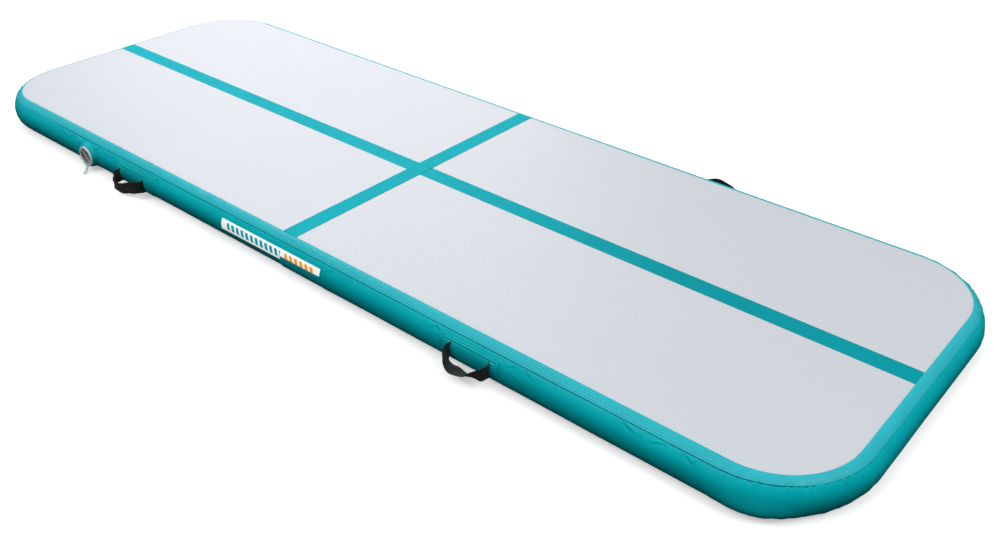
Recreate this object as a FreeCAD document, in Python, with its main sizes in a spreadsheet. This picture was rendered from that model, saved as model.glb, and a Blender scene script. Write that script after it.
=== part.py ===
import FreeCAD, Part
import math
import os
import Sketcher
from FreeCAD import Placement, Rotation, Vector

# Air track mat: an inflated drop-stitch tumbling mat with carrying straps and an air valve.
# Millimetres. X runs along the mat, Z is up, the near side faces -Y. The origin is the centre
# of the underside, on the floor.
#
# The edge of the mat is a half-round tube that runs round a rounded rectangle. "Tube angle" is
# measured about the tube's centre line, from straight up (0) through sideways (90) to down (180).

DIMENSIONS = {
    "mat_length": 3000,
    "mat_width": 1000,
    "mat_height": 100,
    "corner_radius": 240,
    "skin": 1.2,
    "skirt_angle": 30,
    "wall_angle": 31,
    "tape": 0.6,
    "tape_from": 10,
    "tape_to": 40,
    "inner_tape": 0.8,
    "inner_tape_from": 22,
    "wall_joint_offset": 165,
    "wall_joint_width": 40,
    "thread_radius": 1,
    "thread_pitch": 125,
    "stripe_width": 50,
    "stripe": 0.5,
    "stripe_overrun": 8.7,
    "label_from": -237,
    "label_length": 390,
    "label_top_angle": 61,
    "label_bottom_angle": 95,
    "label": 0.3,
    "handle_offset": 650,
    "patch": 0.8,
    "base_patch_length": 190,
    "base_patch_angle": 44,
    "base_patch_corner": 22,
    "cover_patch_length": 170,
    "cover_patch_angle": 38,
    "cover_patch_corner": 16,
    "strap_width": 38,
    "strap": 2,
    "strap_spacing": 114,
    "strap_depth": 34,
    "strap_bend_radius": 17,
    "strap_leg_start": 16,
    "slit_clearance": 0.6,
    "pivot_offset": 6,
    "valve_offset": 887,
    "valve_height": 47.5,
    "wall_hole_radius": 23.5,
    "collar_radius": 34,
    "collar_top": 3.2,
    "collar_depth": 18,
    "collar_gap": 0.2,
    "flange_radius": 31,
    "flange_base": 0.4,
    "well_floor": 1.2,
    "flange_top": 8.5,
    "well_radius": 26,
    "neck_radius": 23,
    "neck_bore": 19,
    "neck_depth": 24,
    "seat_bore": 15,
    "seat_height": 2.5,
    "spider_depth": 17,
    "spider_height": 3,
    "spider_arm": 3,
    "hub_radius": 6,
    "stem_radius": 3,
    "stem_clearance": 0.08,
    "button_radius": 9,
    "button_depth": 2.5,
    "button_height": 2.5,
    "diaphragm_radius": 17.5,
    "diaphragm_height": 2.5,
    "stem_foot_radius": 8,
    "stem_foot_height": 2,
    "nut_radius": 28,
    "nut_depth": 12,
    "nut_height": 8,
    "gasket_radius": 27,
    "spring_radius": 5,
    "spring_wire": 0.5,
    "spring_turns": 4,
    "cap_radius": 25.6,
    "cap_base": 2.15,
    "cap_floor": 1.3,
    "cap_top": 8.2,
    "cap_rim": 2.2,
    "cap_bar_width": 7,
    "cap_bar_top": 7.6,
    "cap_plug_radius": 18.2,
    "cap_plug_depth": 1,
    "groove_depth": 0.3,
    "groove_low": 0.25,
    "groove_high": 0.85,
    "seal_wire": 0.5,
    "swivel_inner": 19.4,
    "swivel_outer": 22.5,
    "swivel_base": 1.3,
    "swivel_top": 2.05,
    "riser_inner": 27,
    "riser_outer": 31,
    "riser_top": 12,
    "riser_width": 5,
    "notch_width": 6.4,
    "lug_length": 4.2,
    "lug_width": 3.4,
    "lug_top": 12,
    "cord_radius": 1.5,
}

HANDLES = {
    # name: (side of the mat along X, True on the far side, droop below level in degrees)
    "near_right_handle": (1, False, 58),
    "near_left_handle": (-1, False, 40),
    "far_right_handle": (1, True, 12),
    "far_left_handle": (-1, True, 35),
}

# The valve's own frame has its axis along +Z, out of the mat, and its origin where that axis meets
# the mat's widest line. Directions on its face are in degrees from +X, which runs along the mat.
LUG_CENTRE = (-25.7, -12.5)
LUG_HEADING = -37
RISER_DIRECTION = 307
BAR_DIRECTION = -51

# route of the cap's tether in the valve's frame, from the lug on the flange, down to a small loop
# on the floor and back up to the swivel's riser
TETHER_ROUTE = [
    (-24.02, -13.76, 10.2),
    (-13.12, -21.97, 10.2),
    (-1, -31.5, 11.2),
    (10.5, -36, 13),
    (18.5, -40, 19),
    (20, -44, 26),
    (15.5, -45.6, 31),
    (9.5, -43.5, 29),
    (7.2, -39, 22.5),
    (6.5, -33.5, 16.6),
    (9.7, -29, 10.2),
    (15.448, -24.669, 10.2),
]

doc = FreeCAD.newDocument("air_track_mat")
sheet = doc.addObject("Spreadsheet::Sheet", "dims")
for row, (alias, number) in enumerate(DIMENSIONS.items(), start=1):
    sheet.set("A%d" % row, str(number))
    sheet.setAlias("A%d" % row, alias)
doc.recompute()

# lengths that several pieces share, as expressions on the sheet
TUBE = "dims.mat_height / 2"
FLAT_X = "(dims.mat_length - dims.mat_height) / 2"
FLAT_Y = "(dims.mat_width - dims.mat_height) / 2"
FLAT_CORNER = "dims.corner_radius - dims.mat_height / 2"

# a pocket on the X-Z plane runs towards the near side when it is reversed
FRONT_IS_REVERSED = True

# how far inside the pivot line a strap's end starts, and where it stops being upright
ROOT_INSIDE = 11
ROOT_STRAIGHT = 2.5
# clearances: between a strap's end and its loop, and at each end of the valve's spring
ROOT_GAP = 0.3
SPRING_GAP = 0.1
# share of the shorter run that each arc of the tether uses up
ARC_SHARE = 0.45

sub_parts = []


def dim(name):
    return float(sheet.get(name))


def value(expression):
    return float(getattr(sheet.evalExpression(expression), "Value", sheet.evalExpression(expression)))


def keep(piece, label):
    piece.Label = label
    sub_parts.append(piece)
    return piece


def new_body(name):
    return doc.addObject("PartDesign::Body", name)


def new_sketch(body, name, role, offset=None):
    sketch = body.newObject("Sketcher::SketchObject", name)
    planes = [feature for feature in body.Origin.OriginFeatures if feature.Role == role]
    sketch.AttachmentSupport = [(planes[0], "")]
    sketch.MapMode = "FlatFace"
    if offset:
        sketch.setExpression("AttachmentOffset.Base.z", offset)
    return sketch


def bind(sketch, kind, items, name, expression):
    """Add a dimension to a sketch and tie it to an expression on the sheet."""
    index = sketch.addConstraint(Sketcher.Constraint(kind, *items, value(expression)))
    sketch.renameConstraint(index, name)
    sketch.setExpression("Constraints." + name, expression)


def place_point(sketch, item, name, x_expression, y_expression):
    """Fix one vertex of a sketch by its two coordinates."""
    geometry, vertex = item
    for axis, axis_line, expression in (("DistanceX", -2, x_expression), ("DistanceY", -1, y_expression)):
        if abs(value(expression)) < 1e-9:
            sketch.addConstraint(Sketcher.Constraint("PointOnObject", geometry, vertex, axis_line))
        else:
            bind(sketch, axis, (-1, 1, geometry, vertex), name + axis[-1], expression)


def polygon_sketch(sketch, points, prefix="p"):
    """Closed polygon whose corners are pairs of expressions."""
    corners = [Vector(value(x), value(y), 0) for x, y in points]
    first = sketch.GeometryCount
    for index, corner in enumerate(corners):
        following = corners[(index + 1) % len(corners)]
        sketch.addGeometry(Part.LineSegment(corner, following), False)
    for index in range(len(corners)):
        following = first + (index + 1) % len(corners)
        sketch.addConstraint(Sketcher.Constraint("Coincident", first + index, 2, following, 1))
    for index, (x, y) in enumerate(points):
        place_point(sketch, (first + index, 1), "%s%d" % (prefix, index), x, y)


def sector_sketch(sketch, inner, outer, start_angle, end_angle, centre_y="-(" + FLAT_Y + ")"):
    """Part of a ring about the tube's centre line, between two tube angles, on a Y-Z plane."""
    centre = Vector(value(centre_y), value(TUBE), 0)
    angles = [math.radians(90 + value(angle)) for angle in (start_angle, end_angle)]
    arcs = []
    for radius in (inner, outer):
        circle = Part.Circle(centre, Vector(0, 0, 1), value(radius))
        arcs.append(sketch.addGeometry(Part.ArcOfCircle(circle, angles[0], angles[1]), False))
    ends = []
    for angle in angles:
        ray = Vector(math.cos(angle), math.sin(angle), 0)
        line = Part.LineSegment(centre + ray * value(inner), centre + ray * value(outer))
        ends.append(sketch.addGeometry(line, False))
    add = sketch.addConstraint
    for end, vertex in ((ends[0], 1), (ends[1], 2)):
        add(Sketcher.Constraint("Coincident", arcs[0], vertex, end, 1))
        add(Sketcher.Constraint("Coincident", arcs[1], vertex, end, 2))
    add(Sketcher.Constraint("Coincident", arcs[0], 3, arcs[1], 3))
    place_point(sketch, (arcs[0], 3), "centre", centre_y, TUBE)
    bind(sketch, "Radius", (arcs[0],), "inner", inner)
    bind(sketch, "Radius", (arcs[1],), "outer", outer)
    for end, name, angle in ((ends[0], "start", start_angle), (ends[1], "finish", end_angle)):
        add(Sketcher.Constraint("PointOnObject", arcs[0], 3, end))
        bind(sketch, "Angle", (end,), name, "(90 + %s) * 1 deg" % angle)


def rounded_rectangle(sketch, half_x, half_y, radius):
    """Closed rectangle with round corners, centred on the sketch's origin."""
    x, y, r = value(half_x), value(half_y), value(radius)
    lines = [
        (Vector(r - x, -y, 0), Vector(x - r, -y, 0)),
        (Vector(x, r - y, 0), Vector(x, y - r, 0)),
        (Vector(x - r, y, 0), Vector(r - x, y, 0)),
        (Vector(-x, y - r, 0), Vector(-x, r - y, 0)),
    ]
    centres = [Vector(x - r, r - y, 0), Vector(x - r, y - r, 0)]
    centres += [Vector(r - x, y - r, 0), Vector(r - x, r - y, 0)]
    for index in range(4):
        sketch.addGeometry(Part.LineSegment(*lines[index]), False)
        start = math.radians(-90 + 90 * index)
        circle = Part.Circle(centres[index], Vector(0, 0, 1), r)
        sketch.addGeometry(Part.ArcOfCircle(circle, start, start + math.pi / 2), False)
    add = sketch.addConstraint
    for index in range(4):
        line, arc, following = 2 * index, 2 * index + 1, (2 * index + 2) % 8
        add(Sketcher.Constraint("Tangent", line, 2, arc, 1))
        add(Sketcher.Constraint("Tangent", arc, 2, following, 1))
        add(Sketcher.Constraint("Horizontal" if index % 2 == 0 else "Vertical", line))
        if index:
            add(Sketcher.Constraint("Equal", 1, arc))
    bind(sketch, "Radius", (1,), "corner", radius)
    for name, kind, line, expression in (
        ("near", "DistanceY", 0, "-(%s)" % half_y),
        ("right", "DistanceX", 2, half_x),
        ("far", "DistanceY", 4, half_y),
        ("left", "DistanceX", 6, "-(%s)" % half_x),
    ):
        bind(sketch, kind, (-1, 1, line, 1), name, expression)


def pad(body, sketch, length, symmetric=False, reverse=False):
    feature = body.newObject("PartDesign::Pad", sketch.Name + "_pad")
    feature.Profile = sketch
    feature.setExpression("Length", length)
    if symmetric:
        feature.SideType = "Symmetric"
    feature.Reversed = reverse
    return feature


def cut_from_front(body, sketch, name):
    """Pocket a sketch on the X-Z plane towards the near side, and make sure that it cut there."""
    doc.recompute()
    before = body.Shape.Volume
    feature = body.newObject("PartDesign::Pocket", name)
    feature.Profile = sketch
    feature.Reversed = FRONT_IS_REVERSED
    feature.setExpression("Length", "dims.mat_width")
    doc.recompute()
    if body.Shape.Volume > before - 1:
        raise RuntimeError(name + " cut nothing")
    return feature


def pipe(body, profile, spine):
    feature = body.newObject("PartDesign::AdditivePipe", profile.Name + "_pipe")
    feature.Profile = profile
    feature.Spine = spine
    return feature


def revolve(body, sketch):
    """Turn a sketch on the X-Z plane about the body's Z axis."""
    feature = body.newObject("PartDesign::Revolution", sketch.Name + "_turn")
    feature.Profile = sketch
    feature.ReferenceAxis = (sketch, ["V_Axis"])
    feature.Angle = 360
    return feature


def edge_ring(body, name, inner, outer, start_angle, end_angle):
    """A band of skin that follows the mat's edge all the way round."""
    spine = new_sketch(body, name + "_spine", "XY_Plane", TUBE)
    rounded_rectangle(spine, FLAT_X, FLAT_Y, FLAT_CORNER)
    profile = new_sketch(body, name + "_section", "YZ_Plane")
    sector_sketch(profile, inner, outer, start_angle, end_angle)
    doc.recompute()
    return pipe(body, profile, spine)


def deck(label, flat_base, start_angle, end_angle):
    """Flat drop-stitch skin with the skirt that turns down into the side."""
    body = new_body(label)
    flat = new_sketch(body, label + "_flat", "XY_Plane", flat_base)
    rounded_rectangle(flat, FLAT_X, FLAT_Y, FLAT_CORNER)
    pad(body, flat, "dims.skin")
    doc.recompute()
    edge_ring(body, label + "_skirt", TUBE + " - dims.skin", TUBE, start_angle, end_angle)
    return keep(body, label)


def seam_tape(label, inner, outer, start_angle, end_angle):
    body = new_body(label)
    edge_ring(body, label, inner, outer, start_angle, end_angle)
    return keep(body, label)


def mat_decks():
    deck("top_deck", "dims.mat_height - dims.skin", "0", "dims.skirt_angle")
    deck("bottom_deck", "0", "180 - dims.skirt_angle", "180")


def mat_tapes():
    outside = (TUBE, TUBE + " + dims.tape")
    seam_tape("top_seam_tape", *outside, "dims.tape_from", "dims.tape_to")
    seam_tape("bottom_seam_tape", *outside, "180 - dims.tape_to", "180 - dims.tape_from")
    inside = (TUBE + " - dims.skin - dims.inner_tape", TUBE + " - dims.skin")
    seam_tape("inner_top_tape", *inside, "dims.inner_tape_from", "dims.tape_to")
    seam_tape("inner_bottom_tape", *inside, "180 - dims.tape_to", "180 - dims.inner_tape_from")


def rounded_path(sketch, points, radius):
    """Open path of three level or upright runs joined by two equal arcs."""
    corners = [Vector(value(x), value(y), 0) for x, y in points]
    r = value(radius)
    starts, ends, arcs = [corners[0]], [], []
    for index in (1, 2):
        back = (corners[index - 1] - corners[index]).normalize()
        ahead = (corners[index + 1] - corners[index]).normalize()
        centre = corners[index] + (back + ahead) * r
        middle = centre - (back + ahead).normalize() * r
        ends.append(corners[index] + back * r)
        starts.append(corners[index] + ahead * r)
        arcs.append((Part.Arc(ends[-1], middle, starts[-1]), ahead.cross(back).z > 0))
    ends.append(corners[3])
    runs = [sketch.addGeometry(Part.LineSegment(start, end), False) for start, end in zip(starts, ends)]
    bends = [sketch.addGeometry(arc, False) for arc, _ in arcs]
    add = sketch.addConstraint
    for index, bend in enumerate(bends):
        turns_left = arcs[index][1]
        first, second = (1, 2) if turns_left else (2, 1)
        add(Sketcher.Constraint("Tangent", runs[index], 2, bend, first))
        add(Sketcher.Constraint("Tangent", bend, second, runs[index + 1], 1))
    for run in runs:
        level = abs(starts[run].y - ends[run].y) < 1e-6
        add(Sketcher.Constraint("Horizontal" if level else "Vertical", run))
    add(Sketcher.Constraint("Equal", bends[0], bends[1]))
    bind(sketch, "Radius", (bends[0],), "bend", radius)
    place_point(sketch, (runs[0], 1), "start", *points[0])
    place_point(sketch, (runs[2], 2), "finish", *points[3])
    if abs(starts[1].y - ends[1].y) < 1e-6:
        bind(sketch, "DistanceY", (-1, 1, runs[1], 1), "base", points[1][1])
    else:
        bind(sketch, "DistanceX", (-1, 1, runs[1], 1), "base", points[1][0])


def side_wall(label, sign):
    """One of the two strips that close the mat's side, with the valve's hole in the left one."""
    body = new_body(label)
    spine = new_sketch(body, label + "_spine", "XY_Plane", TUBE)
    end = "%d * (%s)" % (sign, FLAT_X)
    near = "-(%s)" % FLAT_Y
    joints = (("dims.wall_joint_offset", near), ("-dims.wall_joint_offset", FLAT_Y))
    rounded_path(spine, [joints[0], (end, near), (end, FLAT_Y), joints[1]], FLAT_CORNER)
    profile = new_sketch(body, label + "_section", "YZ_Plane", "dims.wall_joint_offset")
    sector_sketch(profile, TUBE + " - dims.skin", TUBE, "dims.wall_angle", "180 - dims.wall_angle")
    doc.recompute()
    pipe(body, profile, spine)
    doc.recompute()
    if sign < 0:
        hole = new_sketch(body, label + "_hole", "XZ_Plane")
        hole.addGeometry(Part.Circle(Vector(-dim("valve_offset"), dim("valve_height"), 0), Vector(0, 0, 1),
                                     dim("wall_hole_radius")), False)
        place_point(hole, (0, 3), "axis", "-dims.valve_offset", "dims.valve_height")
        bind(hole, "Radius", (0,), "radius", "dims.wall_hole_radius")
        cut_from_front(body, hole, label + "_hole_cut")
    return keep(body, label)


def wall_joint_straps():
    """Strips inside the wall that bridge the two butt joints between its halves."""
    straps = []
    for name, turn in (("near_joint_strap", 0), ("far_joint_strap", 180)):
        body = new_body(name)
        profile = new_sketch(body, name + "_section", "YZ_Plane")
        inner = TUBE + " - dims.skin - dims.inner_tape"
        sector_sketch(profile, inner, TUBE + " - dims.skin", "dims.tape_to + 2", "180 - dims.tape_to - 2")
        pad(body, profile, "dims.wall_joint_width", symmetric=True)
        shift = Vector(dim("wall_joint_offset"), 0, 0)
        body.Placement = Placement(Vector(), Rotation(Vector(0, 0, 1), turn)) * Placement(shift, Rotation())
        straps.append(body)
    both = doc.addObject("Part::Compound", "wall_joint_straps")
    both.Links = straps
    return keep(both, "wall_joint_straps")


def drop_threads():
    """Bundles of the threads that hold the two decks parallel, on a square grid."""
    pitch = dim("thread_pitch")
    count_x = int(value(FLAT_X) // pitch)
    count_y = int(value(FLAT_Y) // pitch)
    base = dim("skin")
    height = dim("mat_height") - 2 * dim("skin")
    bundles = []
    for column in range(-count_x, count_x + 1):
        for line in range(-count_y, count_y + 1):
            foot = Vector(column * pitch, line * pitch, base)
            bundles.append(Part.makeCylinder(dim("thread_radius"), height, foot))
    threads = doc.addObject("Part::Feature", "drop_stitch_threads")
    threads.Shape = Part.makeCompound(bundles)
    threads.Placement = Placement()
    return keep(threads, "drop_stitch_threads")


def stripes():
    """The stripe along the mat, and the one across it, which steps up over the first."""
    top = "dims.mat_height"
    upper = top + " + dims.stripe"
    body = new_body("length_stripe")
    outline = new_sketch(body, "length_stripe_section", "XZ_Plane")
    reach = FLAT_X + " + dims.stripe_overrun"
    left, right = "-(%s)" % reach, reach
    polygon_sketch(outline, [(left, top), (right, top), (right, upper), (left, upper)])
    pad(body, outline, "dims.stripe_width", symmetric=True)
    keep(body, "length_stripe")

    body = new_body("cross_stripe")
    outline = new_sketch(body, "cross_stripe_section", "YZ_Plane")
    reach = FLAT_Y + " + dims.stripe_overrun"
    step = "dims.stripe_width / 2 + 0.2"
    crest = top + " + 2 * dims.stripe"
    near, far = "-(%s)" % reach, reach
    polygon_sketch(outline, [
        (near, top), ("-(%s)" % step, top), ("-(%s)" % step, upper), (step, upper), (step, top), (far, top),
        (far, upper), (step + " + dims.stripe", upper), (step + " + dims.stripe", crest),
        ("-(%s + dims.stripe)" % step, crest), ("-(%s + dims.stripe)" % step, upper), (near, upper),
    ])
    pad(body, outline, "dims.stripe_width", symmetric=True)
    keep(body, "cross_stripe")


def side_label():
    body = new_body("side_label")
    profile = new_sketch(body, "side_label_section", "YZ_Plane", "dims.label_from")
    sector_sketch(profile, TUBE, TUBE + " + dims.label", "dims.label_top_angle", "dims.label_bottom_angle")
    pad(body, profile, "dims.label_length")
    return keep(body, "side_label")


def handle_place(handle):
    """Turn the near side's frame to this handle's side and move it along the mat."""
    side, far, _ = HANDLES[handle]
    turn = Placement(Vector(), Rotation(Vector(0, 0, 1), 180 if far else 0))
    shift = dim("handle_offset") * side * (-1 if far else 1)
    return turn * Placement(Vector(shift, 0, 0), Rotation())


def patch_blank(name, inner, outer, half_angle, length):
    body = new_body(name)
    profile = new_sketch(body, name + "_section", "YZ_Plane")
    sector_sketch(profile, inner, outer, "90 - " + half_angle, "90 + " + half_angle)
    pad(body, profile, length, symmetric=True)
    doc.recompute()
    return body


def round_patch(body, name, length, half_angle, radius):
    """Trim the patch to a rounded rectangle, as seen from in front of it."""
    outline = new_sketch(body, name + "_outline", "XZ_Plane")
    outline.setExpression("AttachmentOffset.Base.y", TUBE)
    half_height = "(%s) * sin((%s) * 1 deg)" % (TUBE, half_angle)
    rounded_rectangle(outline, length + " / 2", half_height, radius)
    left, right = "-dims.mat_width", "dims.mat_width"
    polygon_sketch(outline, [(left, left), (right, left), (right, right), (left, right)])
    cut_from_front(body, outline, name + "_trim")


def base_patch(handle):
    name = handle + "_base_patch"
    body = patch_blank(name, TUBE, TUBE + " + dims.patch", "dims.base_patch_angle", "dims.base_patch_length")
    round_patch(body, name, "dims.base_patch_length", "dims.base_patch_angle", "dims.base_patch_corner")
    body.Placement = handle_place(handle)
    return keep(body, name)


def cover_patch(handle):
    """Outer patch, with the two slits that the strap comes out of."""
    name = handle + "_cover_patch"
    layers = (TUBE + " + dims.patch", TUBE + " + 2 * dims.patch")
    body = patch_blank(name, *layers, "dims.cover_patch_angle", "dims.cover_patch_length")
    round_patch(body, name, "dims.cover_patch_length", "dims.cover_patch_angle", "dims.cover_patch_corner")
    slits = new_sketch(body, name + "_slits", "XZ_Plane")
    low = TUBE + " - dims.strap_width / 2 - dims.slit_clearance"
    high = TUBE + " + dims.strap_width / 2 + dims.slit_clearance"
    for index, middle in enumerate(("-dims.strap_spacing / 2", "dims.strap_spacing / 2")):
        left = middle + " - dims.strap / 2 - dims.slit_clearance"
        right = middle + " + dims.strap / 2 + dims.slit_clearance"
        polygon_sketch(slits, [(left, low), (right, low), (right, high), (left, high)], "slit%d_" % index)
    cut_from_front(body, slits, name + "_slit_cut")
    body.Placement = handle_place(handle)
    return keep(body, name)


def strap_loop(handle):
    """The free loop of webbing: a band bent to a U, which swings on the line through its slits."""
    name = handle + "_strap"
    body = new_body(name)
    half = "dims.strap_spacing / 2"
    legs, base = "-dims.strap_leg_start", "-dims.strap_depth"
    spine = new_sketch(body, name + "_path", "XY_Plane")
    corners = [("-" + half, legs), ("-" + half, base), (half, base), (half, legs)]
    rounded_path(spine, corners, "dims.strap_bend_radius")
    section = new_sketch(body, name + "_section", "XZ_Plane", "dims.strap_leg_start")
    left, right = "-(%s + dims.strap / 2)" % half, "-(%s - dims.strap / 2)" % half
    low, high = "-dims.strap_width / 2", "dims.strap_width / 2"
    polygon_sketch(section, [(left, low), (right, low), (right, high), (left, high)])
    doc.recompute()
    pipe(body, section, spine)
    doc.recompute()
    droop = Rotation(Vector(1, 0, 0), HANDLES[handle][2])
    body.Placement = handle_place(handle) * Placement(strap_pivot(), droop)
    return keep(body, name)


def strap_pivot():
    """Middle of the line that a strap swings about, in the near side's frame."""
    return Vector(0, -(dim("mat_width") / 2 + dim("pivot_offset")), value(TUBE))


def upright_section(middle, droop):
    """Cross-section of the webbing, its width turned from upright by the droop."""
    across = Vector(dim("strap") / 2, 0, 0)
    along = Rotation(Vector(1, 0, 0), droop).multVec(Vector(0, 0, dim("strap_width") / 2))
    low, high = middle - along, middle + along
    corners = [low - across, low + across, high + across, high - across]
    return Part.makePolygon(corners + corners[:1])


def strap_roots(handle):
    """The strap's two ends, from the base patch out through the slits to the free loop.

    The webbing twists here, so each end is lofted through three sections.
    """
    droop = HANDLES[handle][2]
    pivot = strap_pivot()
    reach = dim("strap_leg_start") - ROOT_GAP
    outward = Rotation(Vector(1, 0, 0), droop).multVec(Vector(0, -reach, 0))
    patch_radius = value(TUBE) + dim("patch")
    axis_point = Vector(-dim("strap_spacing"), -value(FLAT_Y), value(TUBE))
    backing = Part.makeCylinder(patch_radius, 2 * dim("strap_spacing"), axis_point, Vector(1, 0, 0))
    ends = []
    for side in (-1, 1):
        shift = Vector(side * dim("strap_spacing") / 2, 0, 0)
        inside = Vector(0, pivot.y + ROOT_INSIDE, pivot.z) + shift
        outside = Vector(0, pivot.y + ROOT_STRAIGHT, pivot.z) + shift
        sections = [upright_section(inside, 0), upright_section(outside, 0)]
        sections.append(upright_section(pivot + outward + shift, droop))
        ends.append(Part.makeLoft(sections, True, True).cut(backing))
    roots = doc.addObject("Part::Feature", handle + "_strap_roots")
    roots.Shape = Part.makeCompound(ends)
    roots.Placement = handle_place(handle)
    return keep(roots, handle + "_strap_roots")


def valve_place():
    place = Vector(-dim("valve_offset"), -dim("mat_width") / 2, dim("valve_height"))
    return Placement(place, Rotation(Vector(1, 0, 0), 90))


def turned_body(name, outline):
    """A round piece: (radius, height) corners turned about the valve's axis."""
    body = new_body(name)
    sketch = new_sketch(body, name + "_outline", "XZ_Plane")
    polygon_sketch(sketch, outline)
    doc.recompute()
    revolve(body, sketch)
    doc.recompute()
    return body


def face_sketch(body, name, height, turn, centre=(0, 0)):
    """Sketch parallel to the valve's face, turned about the valve's axis or about its own centre."""
    sketch = new_sketch(body, name, "XY_Plane")
    sketch.AttachmentOffset = Placement(Vector(centre[0], centre[1], 0), Rotation(Vector(0, 0, 1), turn))
    sketch.setExpression("AttachmentOffset.Base.z", height)
    return sketch


def block(body, name, height, turn, x_range, y_range, length, centre=(0, 0), cut=False):
    """Rectangular boss, or slot, standing up from a height on the valve."""
    sketch = face_sketch(body, name, height, turn, centre)
    (left, right), (low, high) = x_range, y_range
    polygon_sketch(sketch, [(left, low), (right, low), (right, high), (left, high)])
    if cut:
        feature = body.newObject("PartDesign::Pocket", name + "_cut")
        feature.Profile = sketch
        feature.Reversed = True
        feature.setExpression("Length", length)
    else:
        feature = pad(body, sketch, length)
    doc.recompute()
    return feature


def tube_cylinder(name, radius):
    """The mat's edge near the valve, in the valve's frame, as a plain cylinder."""
    cylinder = doc.addObject("Part::Cylinder", name)
    cylinder.setExpression("Radius", radius)
    cylinder.setExpression("Height", "4 * dims.collar_radius")
    place = Vector(-2 * dim("collar_radius"), value(TUBE) - dim("valve_height"), -value(TUBE))
    cylinder.Placement = Placement(place, Rotation(Vector(0, 1, 0), 90))
    return cylinder


def washer(name, outer, inner, low, high):
    """Round washer on the valve's axis, as the cut of two cylinders."""
    ring = doc.addObject("Part::Cut", name)
    for role, radius in (("Base", outer), ("Tool", inner)):
        cylinder = doc.addObject("Part::Cylinder", name + "_" + role.lower())
        cylinder.setExpression("Radius", radius)
        cylinder.setExpression("Height", "(%s) - (%s)" % (high, low))
        cylinder.setExpression("Placement.Base.z", low)
        setattr(ring, role, cylinder)
    return ring


def valve_collar():
    """Soft seat that fills the gap between the round side of the mat and the flat flange."""
    low, rim = "-dims.collar_depth", "dims.flange_radius + dims.collar_gap"
    collar = doc.addObject("Part::Cut", "valve_collar")
    collar.Base = turned_body("collar_ring", [
        ("dims.wall_hole_radius", low), ("dims.collar_radius", low), ("dims.collar_radius", "dims.collar_top"),
        (rim, "dims.collar_top"), (rim, "dims.flange_base"), ("dims.wall_hole_radius", "dims.flange_base"),
    ])
    collar.Tool = tube_cylinder("collar_side", TUBE)
    doc.recompute()
    collar.Placement = valve_place()
    return keep(collar, "valve_collar")


def valve_gasket():
    """Rubber washer between the inside of the wall and the clamping nut."""
    ring = washer("gasket_ring", "dims.gasket_radius", "dims.wall_hole_radius", "-dims.nut_depth", "0")
    gasket = doc.addObject("Part::Common", "valve_gasket")
    gasket.Base = ring
    gasket.Tool = tube_cylinder("gasket_side", TUBE + " - dims.skin")
    doc.recompute()
    gasket.Placement = valve_place()
    return keep(gasket, "valve_gasket")


def valve_nut():
    inner, outer = "dims.neck_radius", "dims.nut_radius"
    low, high = "-dims.nut_depth - dims.nut_height", "-dims.nut_depth"
    nut = washer("valve_nut", outer, inner, low, high)
    doc.recompute()
    nut.Placement = valve_place()
    return keep(nut, "valve_nut")


def valve_body():
    """Flange with the cap's well, the neck through the wall, the seat and the spider that guides the stem."""
    bottom, seat_top = "-dims.neck_depth", "dims.seat_height - dims.neck_depth"
    body = turned_body("valve_body", [
        ("dims.seat_bore", bottom), ("dims.neck_radius", bottom), ("dims.neck_radius", "dims.flange_base"),
        ("dims.flange_radius", "dims.flange_base"), ("dims.flange_radius", "dims.flange_top"),
        ("dims.well_radius", "dims.flange_top"), ("dims.well_radius", "dims.well_floor"),
        ("dims.neck_bore", "dims.well_floor"), ("dims.neck_bore", seat_top), ("dims.seat_bore", seat_top),
    ])
    spider_base = "-dims.spider_depth - dims.spider_height"
    arm = ("-dims.spider_arm / 2", "dims.spider_arm / 2")
    span = ("-dims.neck_bore - 1", "dims.neck_bore + 1")
    for name, turn in (("spider_arm_a", 0), ("spider_arm_b", 90)):
        block(body, name, spider_base, turn, span, arm, "dims.spider_height")
    hub = face_sketch(body, "spider_hub", spider_base, 0)
    round_outline(hub, "dims.hub_radius")
    pad(body, hub, "dims.spider_height")
    doc.recompute()
    guide = face_sketch(body, "stem_guide", spider_base, 0)
    round_outline(guide, "dims.stem_radius + dims.stem_clearance")
    bore = body.newObject("PartDesign::Pocket", "stem_guide_cut")
    bore.Profile = guide
    bore.Reversed = True
    bore.setExpression("Length", "dims.spider_height")
    doc.recompute()
    lug_half, lug_side = "dims.lug_length / 2", "dims.lug_width / 2"
    block(body, "tether_lug", "dims.flange_top", LUG_HEADING, ("-" + lug_half, lug_half),
          ("-" + lug_side, lug_side), "dims.lug_top - dims.flange_top", centre=LUG_CENTRE)
    before = body.Shape.Volume
    reach, side = ("dims.well_radius - 1", "dims.flange_radius + 1"), "dims.notch_width / 2"
    block(body, "riser_notch", "dims.well_floor", RISER_DIRECTION, reach, ("-" + side, side),
          "dims.flange_top - dims.well_floor", cut=True)
    if body.Shape.Volume > before - 1:
        raise RuntimeError("the notch cut nothing")
    body.Placement = valve_place()
    return keep(body, "valve_body")


def round_outline(sketch, radius):
    sketch.addGeometry(Part.Circle(Vector(), Vector(0, 0, 1), value(radius)), False)
    sketch.addConstraint(Sketcher.Constraint("Coincident", 0, 3, -1, 1))
    bind(sketch, "Radius", (0,), "radius", radius)


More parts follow.
